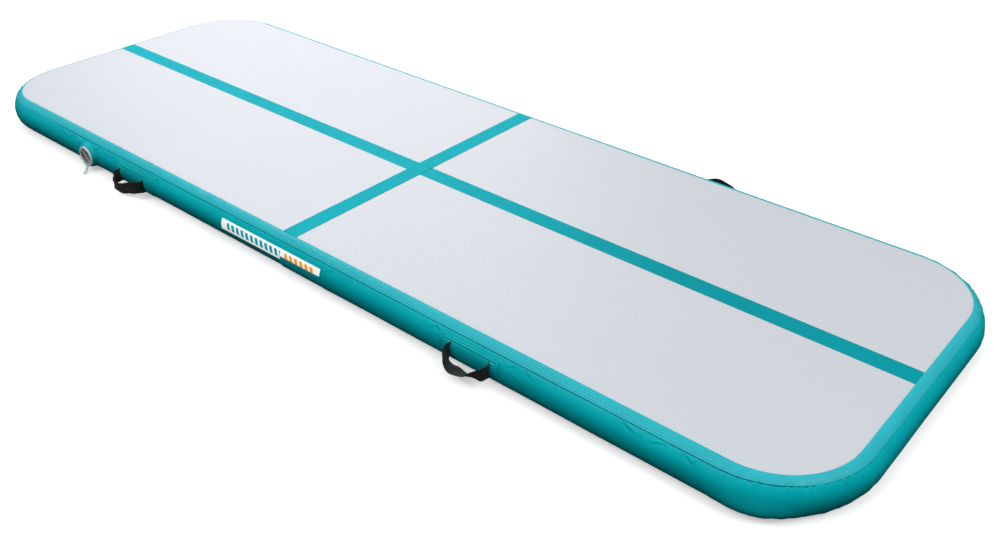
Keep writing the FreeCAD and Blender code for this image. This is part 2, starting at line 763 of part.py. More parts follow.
def valve_stem():
    """Plunger: the button, its shaft through the spider, and the foot that carries the diaphragm."""
    shelf = "-dims.neck_depth - dims.diaphragm_height"
    foot = shelf + " - dims.stem_foot_height"
    button_low = "-dims.button_depth - dims.button_height"
    body = turned_body("valve_stem", [
        ("0", foot), ("dims.stem_foot_radius", foot), ("dims.stem_foot_radius", shelf),
        ("dims.stem_radius", shelf), ("dims.stem_radius", button_low), ("dims.button_radius", button_low),
        ("dims.button_radius", "-dims.button_depth"), ("0", "-dims.button_depth"),
    ])
    body.Placement = valve_place()
    return keep(body, "valve_stem")


def valve_diaphragm():
    low, high = "-dims.neck_depth - dims.diaphragm_height", "-dims.neck_depth"
    disc = washer("valve_diaphragm", "dims.diaphragm_radius", "dims.stem_radius", low, high)
    doc.recompute()
    disc.Placement = valve_place()
    return keep(disc, "valve_diaphragm")


def valve_spring():
    """Coil between the spider and the button."""
    wire = dim("spring_wire")
    low = -dim("spider_depth") + wire + SPRING_GAP
    high = -dim("button_depth") - dim("button_height") - wire - SPRING_GAP
    helix = Part.makeHelix((high - low) / dim("spring_turns"), high - low, dim("spring_radius"))
    helix.translate(Vector(0, 0, low))
    start = Vector(dim("spring_radius"), 0, low)
    section = Part.Wire(Part.makeCircle(wire, start, Vector(0, 1, 0)))
    coil = doc.addObject("Part::Feature", "valve_spring")
    coil.Shape = Part.Wire(helix.Edges).makePipeShell([section], True, True)
    coil.Placement = valve_place()
    return keep(coil, "valve_spring")


def valve_cap():
    """Dished screw cap with a finger bar across it and a plug that carries the seal."""
    floor = "dims.cap_base + dims.cap_floor"
    rim = "dims.cap_radius - dims.cap_rim"
    groove = "dims.cap_plug_radius - dims.groove_depth"
    body = turned_body("valve_cap", [
        ("0", "-dims.cap_plug_depth"), ("dims.cap_plug_radius", "-dims.cap_plug_depth"),
        ("dims.cap_plug_radius", "-dims.groove_low"), (groove, "-dims.groove_low"),
        (groove, "dims.groove_high"), ("dims.cap_plug_radius", "dims.groove_high"),
        ("dims.cap_plug_radius", "dims.cap_base"), ("dims.cap_radius", "dims.cap_base"),
        ("dims.cap_radius", "dims.cap_top"), (rim, "dims.cap_top"), (rim, floor), ("0", floor),
    ])
    reach = "dims.cap_radius - dims.cap_rim / 2"
    half = "dims.cap_bar_width / 2"
    block(body, "finger_bar", floor, BAR_DIRECTION, ("-(%s)" % reach, reach), ("-" + half, half),
          "dims.cap_bar_top - dims.cap_base - dims.cap_floor")
    body.Placement = valve_place()
    return keep(body, "valve_cap")


def cap_seal():
    ring = doc.addObject("Part::Torus", "cap_seal")
    ring.setExpression("Radius1", "dims.cap_plug_radius - dims.groove_depth + dims.seal_wire + 0.03")
    ring.setExpression("Radius2", "dims.seal_wire")
    doc.recompute()
    shift = Vector(0, 0, (dim("groove_high") - dim("groove_low")) / 2)
    ring.Placement = valve_place() * Placement(shift, Rotation())
    return keep(ring, "cap_seal")


def cap_swivel():
    """Ring that the cap turns in, with the riser that comes out through the flange's notch."""
    inner, outer = "dims.swivel_inner", "dims.swivel_outer"
    low, high = "dims.swivel_base", "dims.swivel_top"
    body = turned_body("cap_swivel", [(inner, low), (outer, low), (outer, high), (inner, high)])
    side = ("-dims.riser_width / 2", "dims.riser_width / 2")
    block(body, "swivel_arm", low, RISER_DIRECTION, ("dims.swivel_outer - 1", "dims.riser_outer"), side,
          "dims.swivel_top - dims.swivel_base")
    block(body, "swivel_riser", low, RISER_DIRECTION, ("dims.riser_inner", "dims.riser_outer"), side,
          "dims.riser_top - dims.swivel_base")
    body.Placement = valve_place()
    return keep(body, "cap_swivel")


def tether_path(points):
    """Straight runs joined by tangent arcs, each as large as its two runs allow."""
    radii = []
    edges = []
    here = points[0]
    for before, corner, after in zip(points, points[1:], points[2:]):
        back, ahead = before - corner, after - corner
        reach = ARC_SHARE * min(back.Length, ahead.Length)
        half_turn = (math.pi - back.getAngle(ahead)) / 2
        radii.append(reach / math.tan(half_turn))
        back.normalize()
        ahead.normalize()
        start, finish = corner + back * reach, corner + ahead * reach
        towards_centre = (back + ahead).normalize()
        centre_distance = radii[-1] / math.cos(half_turn)
        middle = corner + towards_centre * (centre_distance - radii[-1])
        edges.append(Part.LineSegment(here, start).toShape())
        edges.append(Part.Arc(start, middle, finish).toShape())
        here = finish
    edges.append(Part.LineSegment(here, points[-1]).toShape())
    return Part.Wire(edges), radii


def cap_tether():
    """Soft cord that keeps the cap with the mat."""
    points = [Vector(*point) for point in TETHER_ROUTE]
    path, radii = tether_path(points)
    section = Part.Wire(Part.makeCircle(dim("cord_radius"), points[0], points[1] - points[0]))
    cord = doc.addObject("Part::Feature", "cap_tether")
    cord.Shape = path.makePipeShell([section], True, False)
    expected = math.pi * dim("cord_radius") ** 2 * path.Length
    print("tether length %.1f, bend radii %s" % (path.Length, ["%.1f" % radius for radius in radii]))
    print("tether volume %.1f, section times length %.1f" % (cord.Shape.Volume, expected))
    cord.Placement = valve_place()
    return keep(cord, "cap_tether")


def build_all():
    mat_decks()
    mat_tapes()
    side_wall("left_side_wall", -1)
    side_wall("right_side_wall", 1)
    wall_joint_straps()
    drop_threads()
    stripes()
    side_label()
    for handle in HANDLES:
        base_patch(handle)
        cover_patch(handle)
        strap_roots(handle)
        strap_loop(handle)
    for make_piece in (valve_collar, valve_gasket, valve_nut, valve_body, valve_stem, valve_diaphragm,
                       valve_spring, valve_cap, cap_seal, cap_swivel, cap_tether):
        make_piece()


def check_and_export():
    doc.recompute()
    faults = [item.Name for item in doc.Objects if "Invalid" in item.State or "Error" in item.State]
    faults += [piece.Label for piece in sub_parts if piece.Shape.isNull() or not piece.Shape.isValid()]
    if faults:
        raise RuntimeError("these objects failed: " + ", ".join(faults))
    os.makedirs("parts", exist_ok=True)
    for piece in sub_parts:
        piece.Shape.exportStep("parts/%s.step" % piece.Label)
        print("%-36s %10.0f mm3, %d solids" % (piece.Label, piece.Shape.Volume, len(piece.Shape.Solids)))


build_all()
check_and_export()
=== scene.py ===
import math

import bmesh
import bpy
import numpy as np
from mathutils import Matrix, Vector


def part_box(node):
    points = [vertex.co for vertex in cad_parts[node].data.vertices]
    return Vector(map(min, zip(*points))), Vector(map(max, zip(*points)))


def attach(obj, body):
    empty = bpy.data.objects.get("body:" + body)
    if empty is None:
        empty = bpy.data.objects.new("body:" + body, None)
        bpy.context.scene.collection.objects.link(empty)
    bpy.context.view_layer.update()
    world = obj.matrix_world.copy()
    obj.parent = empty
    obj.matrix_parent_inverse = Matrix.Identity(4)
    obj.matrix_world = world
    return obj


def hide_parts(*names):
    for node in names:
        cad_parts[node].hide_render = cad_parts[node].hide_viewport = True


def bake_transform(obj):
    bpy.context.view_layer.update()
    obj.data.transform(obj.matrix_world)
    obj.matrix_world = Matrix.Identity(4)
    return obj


# Air track mat, looks only: metres, in the row frame. Places and main sizes come from the frame's boxes;
# what the frame doesn't hold, such as welts, creases and folds, is given here.

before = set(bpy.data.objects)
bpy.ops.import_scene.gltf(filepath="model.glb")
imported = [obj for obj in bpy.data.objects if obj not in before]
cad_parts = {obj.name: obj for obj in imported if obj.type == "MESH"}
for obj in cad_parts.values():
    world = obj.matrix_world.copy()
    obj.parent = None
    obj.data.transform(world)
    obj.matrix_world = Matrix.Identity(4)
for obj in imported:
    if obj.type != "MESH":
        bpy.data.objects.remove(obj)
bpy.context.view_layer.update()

HALF_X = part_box("right_side_wall")[1].x
HALF_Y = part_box("right_side_wall")[1].y
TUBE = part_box("top_deck")[1].z / 2
PERIMETER_STEP = 0.004
VALVE_LOW, VALVE_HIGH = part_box("valve_body")
VALVE = Vector(((VALVE_LOW.x + VALVE_HIGH.x) / 2, -HALF_Y, (VALVE_LOW.z + VALVE_HIGH.z) / 2))

# corner radius of the mat's widest line, and how much faster than its inset a line's corner tightens
OUTER_CORNER = 0.250
CORNER_TIGHTENING = 1.62

# tube angles run from straight up, 0, over the outside, pi / 2, to straight down
TAPE_FROM, TAPE_TO = math.radians(10), math.radians(40)
TAPE_WIDTH = TUBE * (TAPE_TO - TAPE_FROM)
TAPE_RISE = 0.0005
TAPE_ROWS = 52
# lines embossed along the tape: places across it, depth, width, and the depth from which they get a painted shade
GROOVE_PLACES = (0.14, 0.36, 0.58, 0.84)
GROOVE_DEPTH, GROOVE_WIDTH, GROOVE_SHADED_FROM = 0.00045, 0.0011, 0.0002
SKIN = 0.0012
# how far the wall tucks under each tape, in radians, and the rows of its outer and inner faces
TUCK = 0.05
WALL_ROWS, LINING_ROWS = 44, 8
LAP_RISE = 0.0005
SEAM_GAP = 0.0012
LINE_WIDTH = 0.0011

rng = np.random.default_rng(7)


# ---- mesh helpers

def add_object(name, data):
    thing = bpy.data.objects.new(name, data)
    bpy.context.scene.collection.objects.link(thing)
    return thing


def on_mat(piece, slot, *nodes):
    """A piece that rides on the mat's body, in place of the CAD nodes named."""
    if nodes:
        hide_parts(*nodes)
    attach(piece, "mat")


def mesh_piece(name, points, faces, material, uv=None, weld=False):
    """Object from points and faces, with face normals made to point outwards."""
    mesh = bpy.data.meshes.new(name)
    mesh.from_pydata(np.asarray(points, float).reshape(-1, 3).tolist(), [], faces)
    if uv is not None:
        layer = mesh.uv_layers.new(name="UVMap")
        vertex = np.empty(len(mesh.loops), int)
        mesh.loops.foreach_get("vertex_index", vertex)
        layer.data.foreach_set("uv", np.asarray(uv, np.float32)[vertex].ravel())
    build = bmesh.new()
    build.from_mesh(mesh)
    if weld:
        bmesh.ops.remove_doubles(build, verts=build.verts, dist=1e-6)
        bmesh.ops.dissolve_degenerate(build, edges=build.edges, dist=1e-7)
    bmesh.ops.recalc_face_normals(build, faces=build.faces)
    build.to_mesh(mesh)
    build.free()
    mesh.polygons.foreach_set("use_smooth", [True] * len(mesh.polygons))
    mesh.materials.append(material)
    return add_object(name, mesh)


def grid_faces(rows, columns, close_rows=False, close_columns=False):
    """Quads of a rows by columns grid of points, stored row by row."""
    faces = []
    for row in range(rows if close_rows else rows - 1):
        after = (row + 1) % rows
        for column in range(columns if close_columns else columns - 1):
            beside = (column + 1) % columns
            faces.append((row * columns + column, row * columns + beside,
                          after * columns + beside, after * columns + column))
    return faces


def cap_faces(rows, columns):
    """The two end faces of a closed-row grid whose columns run along a strip."""
    start = [row * columns for row in range(rows)]
    end = [row * columns + columns - 1 for row in reversed(range(rows))]
    return [tuple(start), tuple(end)]


def smooth_step(low, high, value):
    share = np.clip((value - low) / (high - low), 0, 1)
    return share * share * (3 - 2 * share)


# ---- materials

def new_material(name, colour, roughness, **sockets):
    material = bpy.data.materials.new(name)
    material.use_nodes = True
    shader = material.node_tree.nodes["Principled BSDF"]
    shader.inputs["Base Color"].default_value = (*colour, 1)
    shader.inputs["Roughness"].default_value = roughness
    for socket, value in sockets.items():
        shader.inputs[socket.replace("_", " ")].default_value = value
    return material, material.node_tree, shader


def add_node(tree, kind, **settings):
    node = tree.nodes.new(kind)
    for key, value in settings.items():
        if key in node.inputs:
            node.inputs[key].default_value = value
        else:
            setattr(node, key, value)
    return node


def coordinates(tree, turn=0.0, source="Object"):
    """Object or UV coordinates, turned about Z."""
    where = add_node(tree, "ShaderNodeTexCoord")
    mapping = add_node(tree, "ShaderNodeMapping")
    mapping.inputs["Rotation"].default_value = (0, 0, turn)
    tree.links.new(where.outputs[source], mapping.inputs["Vector"])
    return mapping.outputs["Vector"]


def noise_texture(tree, vector, scale, detail=3.0, roughness=0.5):
    node = add_node(tree, "ShaderNodeTexNoise", Scale=scale, Detail=detail, Roughness=roughness)
    tree.links.new(vector, node.inputs["Vector"])
    return node.outputs["Fac"]


def feed(tree, socket, value):
    """Give a socket another node's output or a plain value."""
    if isinstance(value, bpy.types.NodeSocket):
        tree.links.new(value, socket)
    else:
        socket.default_value = value


def math_node(tree, operation, *values):
    node = add_node(tree, "ShaderNodeMath", operation=operation)
    for socket, value in zip(node.inputs, values):
        feed(tree, socket, value)
    return node.outputs[0]


def mix_colours(tree, factor, first, second, blend="MIX"):
    node = add_node(tree, "ShaderNodeMix", data_type="RGBA", blend_type=blend)
    for index, value in ((0, factor), (6, first), (7, second)):
        feed(tree, node.inputs[index], value)
    return node.outputs[2]


def split(tree, vector):
    """A vector's outputs X, Y and Z."""
    node = add_node(tree, "ShaderNodeSeparateXYZ")
    tree.links.new(vector, node.inputs[0])
    return node.outputs


def ramp(tree, factor, stops):
    """Colour ramp: stops are (position, grey or colour)."""
    node = add_node(tree, "ShaderNodeValToRGB")
    node.color_ramp.elements[0].position = stops[0][0]
    node.color_ramp.elements[1].position = stops[-1][0]
    for position, _ in stops[1:-1]:
        node.color_ramp.elements.new(position)
    for element, (_, shade) in zip(node.color_ramp.elements, stops):
        element.color = (shade, shade, shade, 1) if isinstance(shade, (int, float)) else (*shade, 1)
    tree.links.new(factor, node.inputs["Fac"])
    return node.outputs["Color"]


def bump(tree, shader, layers):
    """Chained bump: layers are (height, strength, distance in metres)."""
    normal = None
    for height, strength, distance in layers:
        node = add_node(tree, "ShaderNodeBump", Strength=strength, Distance=distance)
        tree.links.new(height, node.inputs["Height"])
        if normal is not None:
            tree.links.new(normal, node.inputs["Normal"])
        normal = node.outputs["Normal"]
    tree.links.new(normal, shader.inputs["Normal"])


def vary_colour(tree, shader, colour, factor, spread):
    """Base colour that goes a little darker and lighter with a texture."""
    low = tuple(channel * (1 - spread) for channel in colour)
    high = tuple(min(channel * (1 + spread), 1) for channel in colour)
    tree.links.new(ramp(tree, factor, [(0.3, low), (0.7, high)]), shader.inputs["Base Color"])


def vary_roughness(tree, shader, factor, low, high):
    """low and high are (texture value, roughness)."""
    tree.links.new(ramp(tree, factor, [low, high]), shader.inputs["Roughness"])


def shade_along(tree, shader, place, axis, start, length, stops):
    """Multiply the base colour by a shade that changes along an axis."""
    level = math_node(tree, "DIVIDE", math_node(tree, "SUBTRACT", split(tree, place)[axis], start), length)
    base = shader.inputs["Base Color"]
    shaded = mix_colours(tree, 1, base.links[0].from_socket, ramp(tree, level, stops), "MULTIPLY")
    tree.links.new(shaded, base)


def coated_skin(name, colour, roughness, spread=0.06, grain=0.00004, specular=0.04, shades=None):
    """Smooth coated fabric: faint cloth grain, blotchy sheen and slow colour drift, shaded along one axis."""
    material, tree, shader = new_material(name, colour, roughness, Specular_IOR_Level=specular)
    place = coordinates(tree)
    vary_colour(tree, shader, colour, noise_texture(tree, place, 9, 4), spread)
    if shades is not None:
        shade_along(tree, shader, place, *shades)
    dirt = noise_texture(tree, place, 45, 5, 0.6)
    vary_roughness(tree, shader, dirt, (0.25, roughness - 0.05), (0.75, roughness + 0.08))
    cloth = weave_height(tree, coordinates(tree), 0.0011)
    bump(tree, shader, [(noise_texture(tree, place, 60, 2), 0.25, 0.0004), (cloth, 0.5, grain)])
    return material


def wave(tree, vector, pitch, direction):
    node = add_node(tree, "ShaderNodeTexWave", Scale=1.0, Distortion=0.0)
    node.bands_direction = direction
    scale = add_node(tree, "ShaderNodeVectorMath", operation="SCALE")
    scale.inputs["Scale"].default_value = math.pi / 10 / pitch
    tree.links.new(vector, scale.inputs[0])
    tree.links.new(scale.outputs[0], node.inputs["Vector"])
    return node.outputs["Fac"]


def weave_height(tree, vector, pitch):
    """Crossing threads as a height, pitch apart."""
    return math_node(tree, "MULTIPLY", wave(tree, vector, pitch, "X"), wave(tree, vector, pitch, "Y"))


def deck_material():
    colour = (0.585, 0.605, 0.65)
    material, tree, shader = new_material("deck_weave", colour, 0.5, Specular_IOR_Level=0.2)
    slanted = coordinates(tree, turn=math.radians(45))
    cells = weave_height(tree, slanted, 0.008)
    threads = weave_height(tree, coordinates(tree), 0.0016)
    drift = noise_texture(tree, coordinates(tree), 3.5, 3)
    tint = math_node(tree, "ADD", math_node(tree, "MULTIPLY", cells, 0.6),
                     math_node(tree, "MULTIPLY", drift, 0.4))
    vary_colour(tree, shader, colour, tint, 0.032)
    vary_roughness(tree, shader, cells, (0.0, 0.42), (1.0, 0.58))
    bump(tree, shader, [(cells, 0.6, 0.0003), (threads, 0.5, 0.00012)])
    return material


def webbing_material():
    colour = (0.010, 0.0165, 0.017)
    material, tree, shader = new_material("webbing", colour, 0.6, Sheen_Weight=0.16, Sheen_Roughness=0.4,
                                          Specular_IOR_Level=0.3)
    place = coordinates(tree, source="UV")
    ribs = wave(tree, place, 0.0016, "X")
    picks = wave(tree, place, 0.0012, "Y")
    fuzz = noise_texture(tree, place, 900, 3)
    twill = math_node(tree, "MULTIPLY", ribs, picks)
    vary_colour(tree, shader, colour, twill, 0.45)
    bump(tree, shader, [(twill, 0.9, 0.0004), (fuzz, 0.4, 0.0001)])
    return material


def moulded(name, colour, roughness, grain=220, metallic=0.0):
    """Plastic, rubber or metal with slow colour drift, scuffs and a fine grain."""
    material, tree, shader = new_material(name, colour, roughness, Specular_IOR_Level=0.5, Metallic=metallic)
    place = coordinates(tree)
    vary_colour(tree, shader, colour, noise_texture(tree, place, 90, 4), 0.07)
    scuffs = noise_texture(tree, place, grain, 4, 0.65)
    vary_roughness(tree, shader, scuffs, (0.3, roughness - 0.06), (0.75, roughness + 0.12))
    bump(tree, shader, [(noise_texture(tree, place, grain * 6, 2), 0.3, 0.00004)])
    return material


def cap_material():
    """The cap's plastic, with painted shade: darker down in its dish than on the bar and the rim."""
    dark, light = (0.13, 0.14, 0.145), (0.50, 0.54, 0.56)
    material, tree, shader = new_material("valve_cap", light, 0.36, Specular_IOR_Level=0.5)
    place = coordinates(tree)
    # painted shade: the deeper the surface lies in the dish, the darker it is coloured
    proud = add_node(tree, "ShaderNodeMapRange")
    for socket, value in (("Value", split(tree, place)["Y"]), ("From Min", VALVE.y - 0.0045),
                          ("From Max", VALVE.y - 0.0072)):
        feed(tree, proud.inputs[socket], value)
    tree.links.new(ramp(tree, proud.outputs[0], [(0.0, dark), (1.0, light)]), shader.inputs["Base Color"])
    vary_roughness(tree, shader, noise_texture(tree, place, 220, 4, 0.65), (0.3, 0.3), (0.75, 0.48))
    bump(tree, shader, [(noise_texture(tree, place, 1300, 2), 0.3, 0.00004)])
    return material


def tether_material():
    colour = (0.55, 0.80, 0.82)
    material, tree, shader = new_material("tether_plastic", colour, 0.28, Transmission_Weight=0.15, IOR=1.48,
                                          Coat_Weight=0.3)
    place = coordinates(tree)
    vary_colour(tree, shader, colour, noise_texture(tree, place, 120, 3), 0.08)
    bump(tree, shader, [(noise_texture(tree, place, 500, 2), 0.3, 0.00005)])
    return material


# the label's print, from the label's middle: pitch and half-height of the bars, half-length of the row, and
# where the teal bars end, the half-width of the gap there, and the orange ones start
BAR_PITCH, BAR_HALF_HEIGHT, ROW_HALF_LENGTH = 0.0195, 0.0088, 0.172
COLOUR_CHANGE, GAP_HALF_WIDTH = 0.054, 0.0085


def label_material():
    """White printed label: a row of slanted bars, teal and then orange, that also glows a little as painted light.
    """
    white, teal, orange = (0.96, 0.97, 0.97), (0.0, 0.34, 0.40), (0.98, 0.36, 0.0)

    material, tree, shader = new_material("label_print_and_glow", white, 0.34, Specular_IOR_Level=0.5)
    place = split(tree, coordinates(tree, source="UV"))
    along, across = place["X"], place["Y"]

    def within(value, limit, test="LESS_THAN"):
        return math_node(tree, test, math_node(tree, "ABSOLUTE", value), limit)

    lean = math_node(tree, "ADD", along, math_node(tree, "MULTIPLY", across, 0.35))
    beat = math_node(tree, "FRACT", math_node(tree, "DIVIDE", lean, BAR_PITCH))
    bars = within(math_node(tree, "SUBTRACT", beat, 0.5), 0.3)
    tall, wide = within(across, BAR_HALF_HEIGHT), within(along, ROW_HALF_LENGTH)
    gap = within(math_node(tree, "SUBTRACT", along, COLOUR_CHANGE), GAP_HALF_WIDTH, "GREATER_THAN")
    mark = math_node(tree, "MULTIPLY", math_node(tree, "MULTIPLY", bars, tall),
                     math_node(tree, "MULTIPLY", wide, gap))
    second = math_node(tree, "GREATER_THAN", along, COLOUR_CHANGE)
    ink = mix_colours(tree, second, (*teal, 1), (*orange, 1))
    printed = mix_colours(tree, mark, (*white, 1), ink)
    tree.links.new(printed, shader.inputs["Base Color"])
    # painted light: the print glows faintly, so the label shows brighter than the lamps light it
    tree.links.new(printed, shader.inputs["Emission Color"])
    shader.inputs["Emission Strength"].default_value = 0.34
    bump(tree, shader, [(noise_texture(tree, coordinates(tree), 400, 2), 0.2, 0.00005), (mark, 0.2, 0.00005)])
    return material


# axis, start, length and shades, each a painted shade: the wall darker towards the floor, where it is shaded, the
# stripes darker towards the right
PAINTED_LOW_SHADE = ("Z", 0, 2 * TUBE, [(0.10, 0.28), (0.44, 0.60), (0.72, 1.0)])
# painted light: the stripes go darker to the right as the lamps' light and sheen fall off along the mat
STRIPE_PAINTED_FALLOFF = ("X", -HALF_X, 2 * HALF_X, [(0.50, 1.0), (0.80, 0.70), (1.0, 0.76)])
DECK = deck_material()
WALL = coated_skin("wall_skin", (0.0, 0.45, 0.50), 0.38, specular=0.08, shades=PAINTED_LOW_SHADE)
TAPE = coated_skin("seam_tape", (0.016, 0.47, 0.54), 0.36, 0.04, specular=0.26)
STRIPE = coated_skin("stripe_skin", (0.003, 0.395, 0.46), 0.62, 0.04, specular=0.03, shades=STRIPE_PAINTED_FALLOFF)
# painted shadow: dark colour of the strips that stand for the shade in the seams' gaps
SEAM_SHADOW = coated_skin("seam_painted_shadow", (0.0, 0.10, 0.115), 0.5)
# painted shade: the darker colour of the tape's embossed lines
TAPE_GROOVE_SHADE = coated_skin("tape_groove_shade", (0.008, 0.39, 0.45), 0.4, 0.04, specular=0.12)
PATCH = coated_skin("patch_skin", (0.0, 0.42, 0.46), 0.34, specular=0.14, shades=PAINTED_LOW_SHADE)
INNER = coated_skin("inner_tape", (0.28, 0.31, 0.34), 0.5)
WEBBING = webbing_material()
LABEL = label_material()
SHELL = moulded("valve_shell", (0.74, 0.77, 0.79), 0.28)
CAP = cap_material()
DARK_PLASTIC = moulded("valve_inner", (0.05, 0.055, 0.06), 0.45)
# dark rubber of the seals, also used as the painted shadow in the handles' slits
RUBBER_AND_SLIT_SHADE = moulded("seal_rubber_and_slit_shade", (0.012, 0.012, 0.013), 0.6)
STEEL = moulded("spring_steel", (0.5, 0.5, 0.52), 0.3, metallic=1.0)
THREAD = moulded("stitch_thread", (0.62, 0.62, 0.60), 0.8, 900)
TETHER = tether_material()


# ---- the mat's edge

def path_counts():
    """How many steps the half-long, short and corner stretches of the perimeter take."""
    straight_x, straight_y = HALF_X - OUTER_CORNER, 2 * (HALF_Y - OUTER_CORNER)
    corner = OUTER_CORNER * math.pi / 2
    return [4 * round(length / PERIMETER_STEP / 4) for length in (straight_x, straight_y, corner)]


HALF_LONG, SHORT, CORNER = path_counts()


def edge_line(inset):
    """Points and outward directions round the mat at an inset from its widest line.

    The line starts at the middle of the near side and goes round towards +X.
    """
    x, y = HALF_X - inset, HALF_Y - inset
    radius = max(min(OUTER_CORNER - CORNER_TIGHTENING * inset, y), 0.0)
    points, normals = [], []

    def run(start, finish, normal, steps):
        share = np.arange(steps)[:, None] / steps
        points.append(np.array(start) + (np.array(finish) - np.array(start)) * share)
        normals.append(np.tile(normal, (steps, 1)))

    def turn(centre, start_angle):
        angles = start_angle + math.pi / 2 * np.arange(CORNER) / CORNER
        direction = np.stack([np.cos(angles), np.sin(angles)], 1)
        points.append(np.array(centre) + radius * direction)
        normals.append(direction)

    run((0, -y), (x - radius, -y), (0, -1), HALF_LONG)
    turn((x - radius, radius - y), -math.pi / 2)
    run((x, radius - y), (x, y - radius), (1, 0), SHORT)
    turn((x - radius, y - radius), 0)
    run((x - radius, y), (0, y), (0, 1), HALF_LONG)
    run((0, y), (radius - x, y), (0, 1), HALF_LONG)
    turn((radius - x, y - radius), math.pi / 2)
    run((-x, y - radius), (-x, radius - y), (-1, 0), SHORT)
    turn((radius - x, radius - y), math.pi)
    run((radius - x, -y), (0, -y), (0, -1), HALF_LONG)
    return np.concatenate(points), np.concatenate(normals)


WIDEST, OUTWARD = edge_line(0)
STEPS = len(WIDEST)
ALONG = np.concatenate([[0], np.cumsum(np.linalg.norm(np.diff(WIDEST, axis=0), axis=1))])
PERIMETER = ALONG[-1] + np.linalg.norm(WIDEST[-1] - WIDEST[0])
ON_NEAR_SIDE = WIDEST[:, 1] < -0.8 * HALF_Y


def corner_share():
    """1 round each corner, 0 on the straights, eased over a few centimetres."""
    flags = np.zeros(STEPS)
    position = 0
    for steps, is_corner in ((HALF_LONG, 0), (CORNER, 1), (SHORT, 0), (CORNER, 1), (HALF_LONG, 0)) * 2:
        flags[position:position + steps] = is_corner
        position += steps
    kernel = np.hanning(31)
    padded = np.concatenate([flags[-15:], flags, flags[:15]])
    return np.convolve(padded, kernel / kernel.sum(), "valid")


CORNERNESS = corner_share()
RIPPLE_WAVES = 9


def ripple(wavelength):
    """Smooth random waves round the perimeter, about -1 to 1."""
    total = np.zeros(STEPS)
    for _ in range(RIPPLE_WAVES):
        turns = round(PERIMETER / (wavelength * rng.uniform(0.65, 1.6)))
        total += np.sin(2 * math.pi * turns * ALONG / PERIMETER + rng.uniform(0, 2 * math.pi))
    return total / math.sqrt(RIPPLE_WAVES)


def slump():
    """How far each stretch of the perimeter bulges low down: only the near right corner does."""
    heading = np.degrees(np.arctan2(OUTWARD[:, 1], OUTWARD[:, 0]))
    return np.where(WIDEST[:, 0] > 0, 0.015 * np.exp(-((heading + 67) / 19) ** 2), 0)


SLUMP = slump()


def edge_point(angle, height):
    """The mat's round edge at a tube angle, lifted by a height that may change round the perimeter."""
    line, outward = edge_line(TUBE * (1 - math.sin(angle)))
    height = np.broadcast_to(height, STEPS)
    low_down = math.exp(-((angle - math.radians(118)) / math.radians(26)) ** 2)
    points = np.empty((STEPS, 3))
    points[:, :2] = line + outward * (height * math.sin(angle) + SLUMP * low_down)[:, None]
    points[:, 2] = TUBE + (TUBE + height) * math.cos(angle)
    return points


def near_bump(centre_x, centre_angle, width, reach, angle):
    """Smooth bump on the near side about a point of it, for one tube angle."""
    across = TUBE * (angle - centre_angle)
    x = WIDEST[:, 0] - centre_x
    share = np.exp(-(x / width) ** 2 - (across / reach) ** 2)
    return np.where(ON_NEAR_SIDE, share, 0)


# the waves' draws from rng, in this order
PUCKER, PUCKER_LONG, SWELL = ripple(0.017), ripple(0.05), ripple(0.35)
PATCHY = smooth_step(0.1, 1.0, ripple(0.22) * 0.5 + 0.5)
FOLD = ripple(0.032)
# the painted seam shadow along the tapes is buried at both ends, and the tape is smoother at the right end
BURIED = np.maximum(1 - smooth_step(-1.15, -1.0, WIDEST[:, 0]), smooth_step(1.38, 1.47, WIDEST[:, 0]))
GROOVED = 1 - 0.8 * smooth_step(1.20, 1.42, WIDEST[:, 0])


def label_share():
    """1 behind the side label, where the wall is smooth, and 0 away from it."""
    low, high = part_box("side_label")
    x = WIDEST[:, 0]
    inside = smooth_step(low.x - 0.02, low.x, x) * (1 - smooth_step(high.x, high.x + 0.02, x))
    return np.where(ON_NEAR_SIDE, inside, 0)


BEHIND_LABEL = label_share()


# slanted creases of the near wall: middle along the mat, tube angle, half-lengths along and across,
# slant and height
CREASES = (
    (-1.010, 0.92, 0.020, 0.0036, 0.25, 0.0015), (-0.972, 0.86, 0.012, 0.0030, -0.4, 0.0018),
    (-0.945, 0.86, 0.010, 0.0032, 0.5, 0.0022), (-0.930, 1.02, 0.008, 0.0034, -0.5, 0.0016),
    (-0.842, 0.88, 0.010, 0.0032, -0.6, 0.0024), (-0.826, 1.05, 0.008, 0.0036, 0.7, 0.0014),
    (-0.800, 0.86, 0.012, 0.0030, 0.3, 0.0016), (-0.770, 1.30, 0.020, 0.0044, 0.3, 0.0009),
    (-0.760, 0.88, 0.010, 0.0034, -0.5, 0.0018), (-0.535, 0.86, 0.010, 0.0032, -0.5, 0.0019),
    (-0.520, 1.06, 0.010, 0.0038, 0.5, 0.0011), (0.185, 0.86, 0.010, 0.0034, -0.5, 0.0016),
    (0.544, 0.84, 0.010, 0.0032, 0.6, 0.0022), (0.528, 0.90, 0.008, 0.0034, -0.5, 0.0015),
    (0.762, 0.86, 0.010, 0.0032, -0.5, 0.0020), (0.775, 1.25, 0.010, 0.0044, 0.4, 0.0010),
    (0.806, 0.86, 0.012, 0.0034, 0.4, 0.0012), (1.060, 0.84, 0.016, 0.0032, 0.3, 0.0018),
    (1.130, 0.86, 0.014, 0.0032, -0.4, 0.0018), (1.20, 0.84, 0.012, 0.0034, 0.4, 0.0016),
)


# soft bumps of the wall round the valve: place along the mat and angle above the valve's middle, width,
# height and reach
VALVE_BUMPS = (
    (-0.040, 0.55, 0.010, 0.0024, 0.010), (-0.018, 0.80, 0.016, -0.0014, 0.006),
    (0.034, 0.45, 0.008, 0.0018, 0.012), (0.048, -0.2, 0.007, -0.0022, 0.020),
    (-0.054, -0.3, 0.010, 0.0014, 0.016), (0.042, -0.65, 0.012, 0.0014, 0.008),
)


